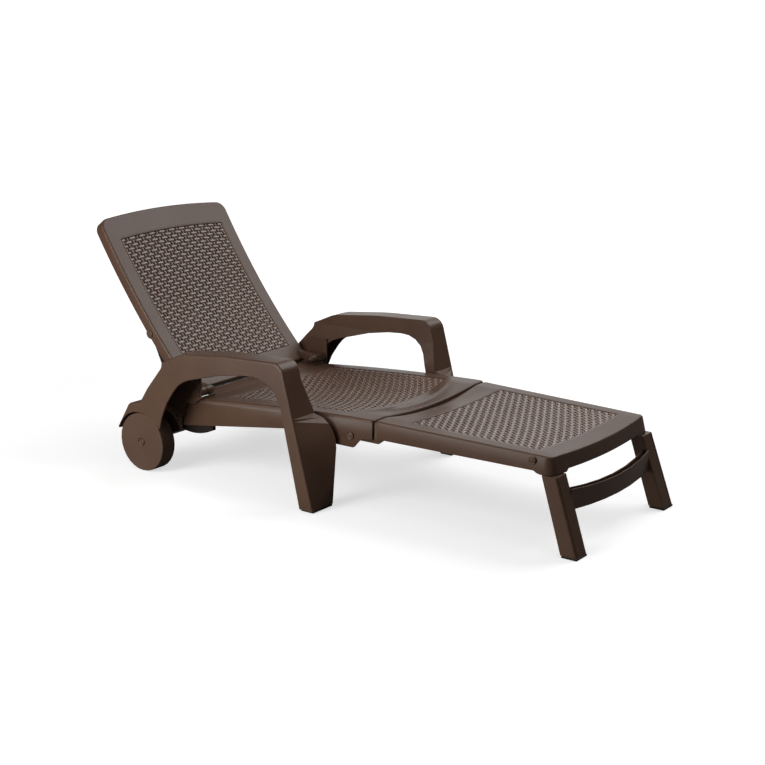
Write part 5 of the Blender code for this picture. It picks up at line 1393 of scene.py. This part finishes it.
CAMERA_PLACE = (2.5822, -3.2984, 1.3457)
CAMERA_RIGHT = (0.79905, 0.60124, -0.00578)
CAMERA_UP = (-0.14114, 0.19690, 0.97021)
CAMERA_BACK = (0.58447, -0.77443, 0.24219)
CAMERA_LENS = 69.52
CAMERA_SENSOR = 36
CAMERA_SHIFT = (-0.01564, -0.00889)

# Soft lamps aimed at the middle of the lounger: place, width and watts
LIGHT_TARGET = (0, 0, 0.25)
STUDIO_LIGHTS = {
    "far_light": ((0.7, 2.2, 3.0), 2.8, 78),
    "near_light": ((-0.6, -3.0, 2.4), 2.0, 46),
    "low_light": ((-1.0, -3.4, 0.6), 1.6, 34),
    "side_light": ((-0.9, -1.7, 0.4), 1.0, 8),
    "front_light": ((1.9, -0.6, 2.9), 2.0, 10),
    "rear_light": ((-1.6, 3.2, 1.2), 2.8, 17),
}
AMBIENT_LIGHT = 0.07
FLOOR_SIZE = 60
FLOOR_NEAR = 1.5
FLOOR_FAR = 3.0
FLOOR_SHADE = 0.62
FLOOR_GLOW = 0.62
WHITE = (1, 1, 1, 1)


def add_lamp(name, place, size, watts):
    lamp = bpy.data.lights.new(name, "AREA")
    lamp.shape = "DISK"
    lamp.size = size
    lamp.energy = watts
    made = bpy.data.objects.new(name, lamp)
    bpy.context.scene.collection.objects.link(made)
    made.location = place
    made.rotation_euler = (Vector(LIGHT_TARGET) - Vector(place)).to_track_quat("-Z", "Y").to_euler()


def seen_apart(tree, unseen, seen):
    """One shader for the light on the lounger, another for what the camera sees."""
    camera_ray = add_node(tree, "ShaderNodeLightPath").outputs["Is Camera Ray"]
    return add_node(tree, "ShaderNodeMixShader", {0: camera_ray, 1: unseen, 2: seen}).outputs["Shader"]


class LOUNGER_OT_stage(bpy.types.Operator):
    """Set up the pale floor, the studio light and the camera"""
    bl_idname = "lounger.stage"
    bl_label = "Stage"

    def execute(self, context):
        deselect()
        bpy.ops.mesh.primitive_plane_add(size=FLOOR_SIZE, location=(0, 0, 0))
        floor = context.object
        floor.name = "studio_floor"
        floor.data.name = "studio_floor"
        floor.data.materials.append(self.floor_finish())
        self.world(context)
        for name, (place, size, watts) in STUDIO_LIGHTS.items():
            add_lamp(name, place, size, watts)
        self.camera(context)
        context.scene.view_settings.view_transform = "Standard"
        return {"FINISHED"}

    def floor_finish(self):
        """Grey where it lights the lounger; to the camera pale, and brighter towards the background."""
        material = bpy.data.materials.new("studio_floor")
        material.use_nodes = True
        tree = material.node_tree
        tree.nodes.remove(tree.nodes["Principled BSDF"])
        plain = add_node(tree, "ShaderNodeBsdfDiffuse", {"Color": (*colours().floor, 1)})
        shadowed = add_node(tree, "ShaderNodeBsdfDiffuse",
                            {"Color": (FLOOR_SHADE, FLOOR_SHADE, FLOOR_SHADE, 1)})
        place = add_node(tree, "ShaderNodeTexCoord").outputs["Object"]
        away = add_node(tree, "ShaderNodeVectorMath", {0: place}, operation="LENGTH").outputs["Value"]
        rising = add_node(tree, "ShaderNodeMapRange",
                          {"Value": away, "From Min": FLOOR_NEAR, "From Max": FLOOR_FAR,
                           "To Min": FLOOR_GLOW, "To Max": 1}, interpolation_type="SMOOTHSTEP")
        glow = add_node(tree, "ShaderNodeEmission", {"Strength": rising.outputs["Result"]})
        pale = add_node(tree, "ShaderNodeAddShader",
                        {0: shadowed.outputs["BSDF"], 1: glow.outputs["Emission"]})
        finish = seen_apart(tree, plain.outputs["BSDF"], pale.outputs["Shader"])
        feed(tree, tree.nodes["Material Output"].inputs["Surface"], finish)
        return material

    def world(self, context):
        """A faint even light, behind which the camera sees white."""
        world = bpy.data.worlds.new("studio")
        context.scene.world = world
        world.use_nodes = True
        tree = world.node_tree
        light = tree.nodes["Background"]
        feed(tree, light.inputs["Color"], WHITE)
        feed(tree, light.inputs["Strength"], AMBIENT_LIGHT)
        white = add_node(tree, "ShaderNodeBackground", {"Color": WHITE, "Strength": 1})
        sky = seen_apart(tree, light.outputs["Background"], white.outputs["Background"])
        feed(tree, tree.nodes["World Output"].inputs["Surface"], sky)

    def camera(self, context):
        camera = bpy.data.cameras.new("photo_camera")
        camera.lens = CAMERA_LENS
        camera.sensor_width = CAMERA_SENSOR
        camera.shift_x, camera.shift_y = CAMERA_SHIFT
        made = bpy.data.objects.new("photo_camera", camera)
        context.scene.collection.objects.link(made)
        turn = Matrix((CAMERA_RIGHT, CAMERA_UP, CAMERA_BACK)).transposed().to_4x4()
        made.matrix_world = Matrix.Translation(CAMERA_PLACE) @ turn
        context.scene.camera = made


class LOUNGER_PT_sidebar(bpy.types.Panel):
    """Sizes, colours and pieces of the lounger"""
    bl_idname = "LOUNGER_PT_sidebar"
    bl_label = "Sun lounger"
    bl_space_type = "VIEW_3D"
    bl_region_type = "UI"
    bl_category = "Lounger"

    def draw(self, context):
        for group in (context.scene.lounger_sizes, context.scene.lounger_colours):
            for name in group.__annotations__:
                self.layout.prop(group, name)
        for operator in OPERATORS:
            self.layout.operator(operator.bl_idname)


OPERATORS = (
    LOUNGER_OT_finishes, LOUNGER_OT_seat, LOUNGER_OT_footrest, LOUNGER_OT_backrest, LOUNGER_OT_arms,
    LOUNGER_OT_front_legs, LOUNGER_OT_wheels, LOUNGER_OT_recline_gear, LOUNGER_OT_stage,
)
CLASSES = (LoungerSizes, LoungerColours, *OPERATORS, LOUNGER_PT_sidebar)


def register():
    for made in CLASSES:
        bpy.utils.register_class(made)
    bpy.types.Scene.lounger_sizes = PointerProperty(type=LoungerSizes)
    bpy.types.Scene.lounger_colours = PointerProperty(type=LoungerColours)


def unregister():
    del bpy.types.Scene.lounger_colours
    del bpy.types.Scene.lounger_sizes
    for made in reversed(CLASSES):
        bpy.utils.unregister_class(made)


def main():
    register()
    bpy.ops.lounger.finishes()
    bpy.ops.lounger.seat()
    bpy.ops.lounger.footrest()
    bpy.ops.lounger.backrest()
    bpy.ops.lounger.arms()
    bpy.ops.lounger.front_legs()
    bpy.ops.lounger.wheels()
    bpy.ops.lounger.recline_gear()
    bpy.ops.lounger.stage()


if __name__ == "__main__":
    main()
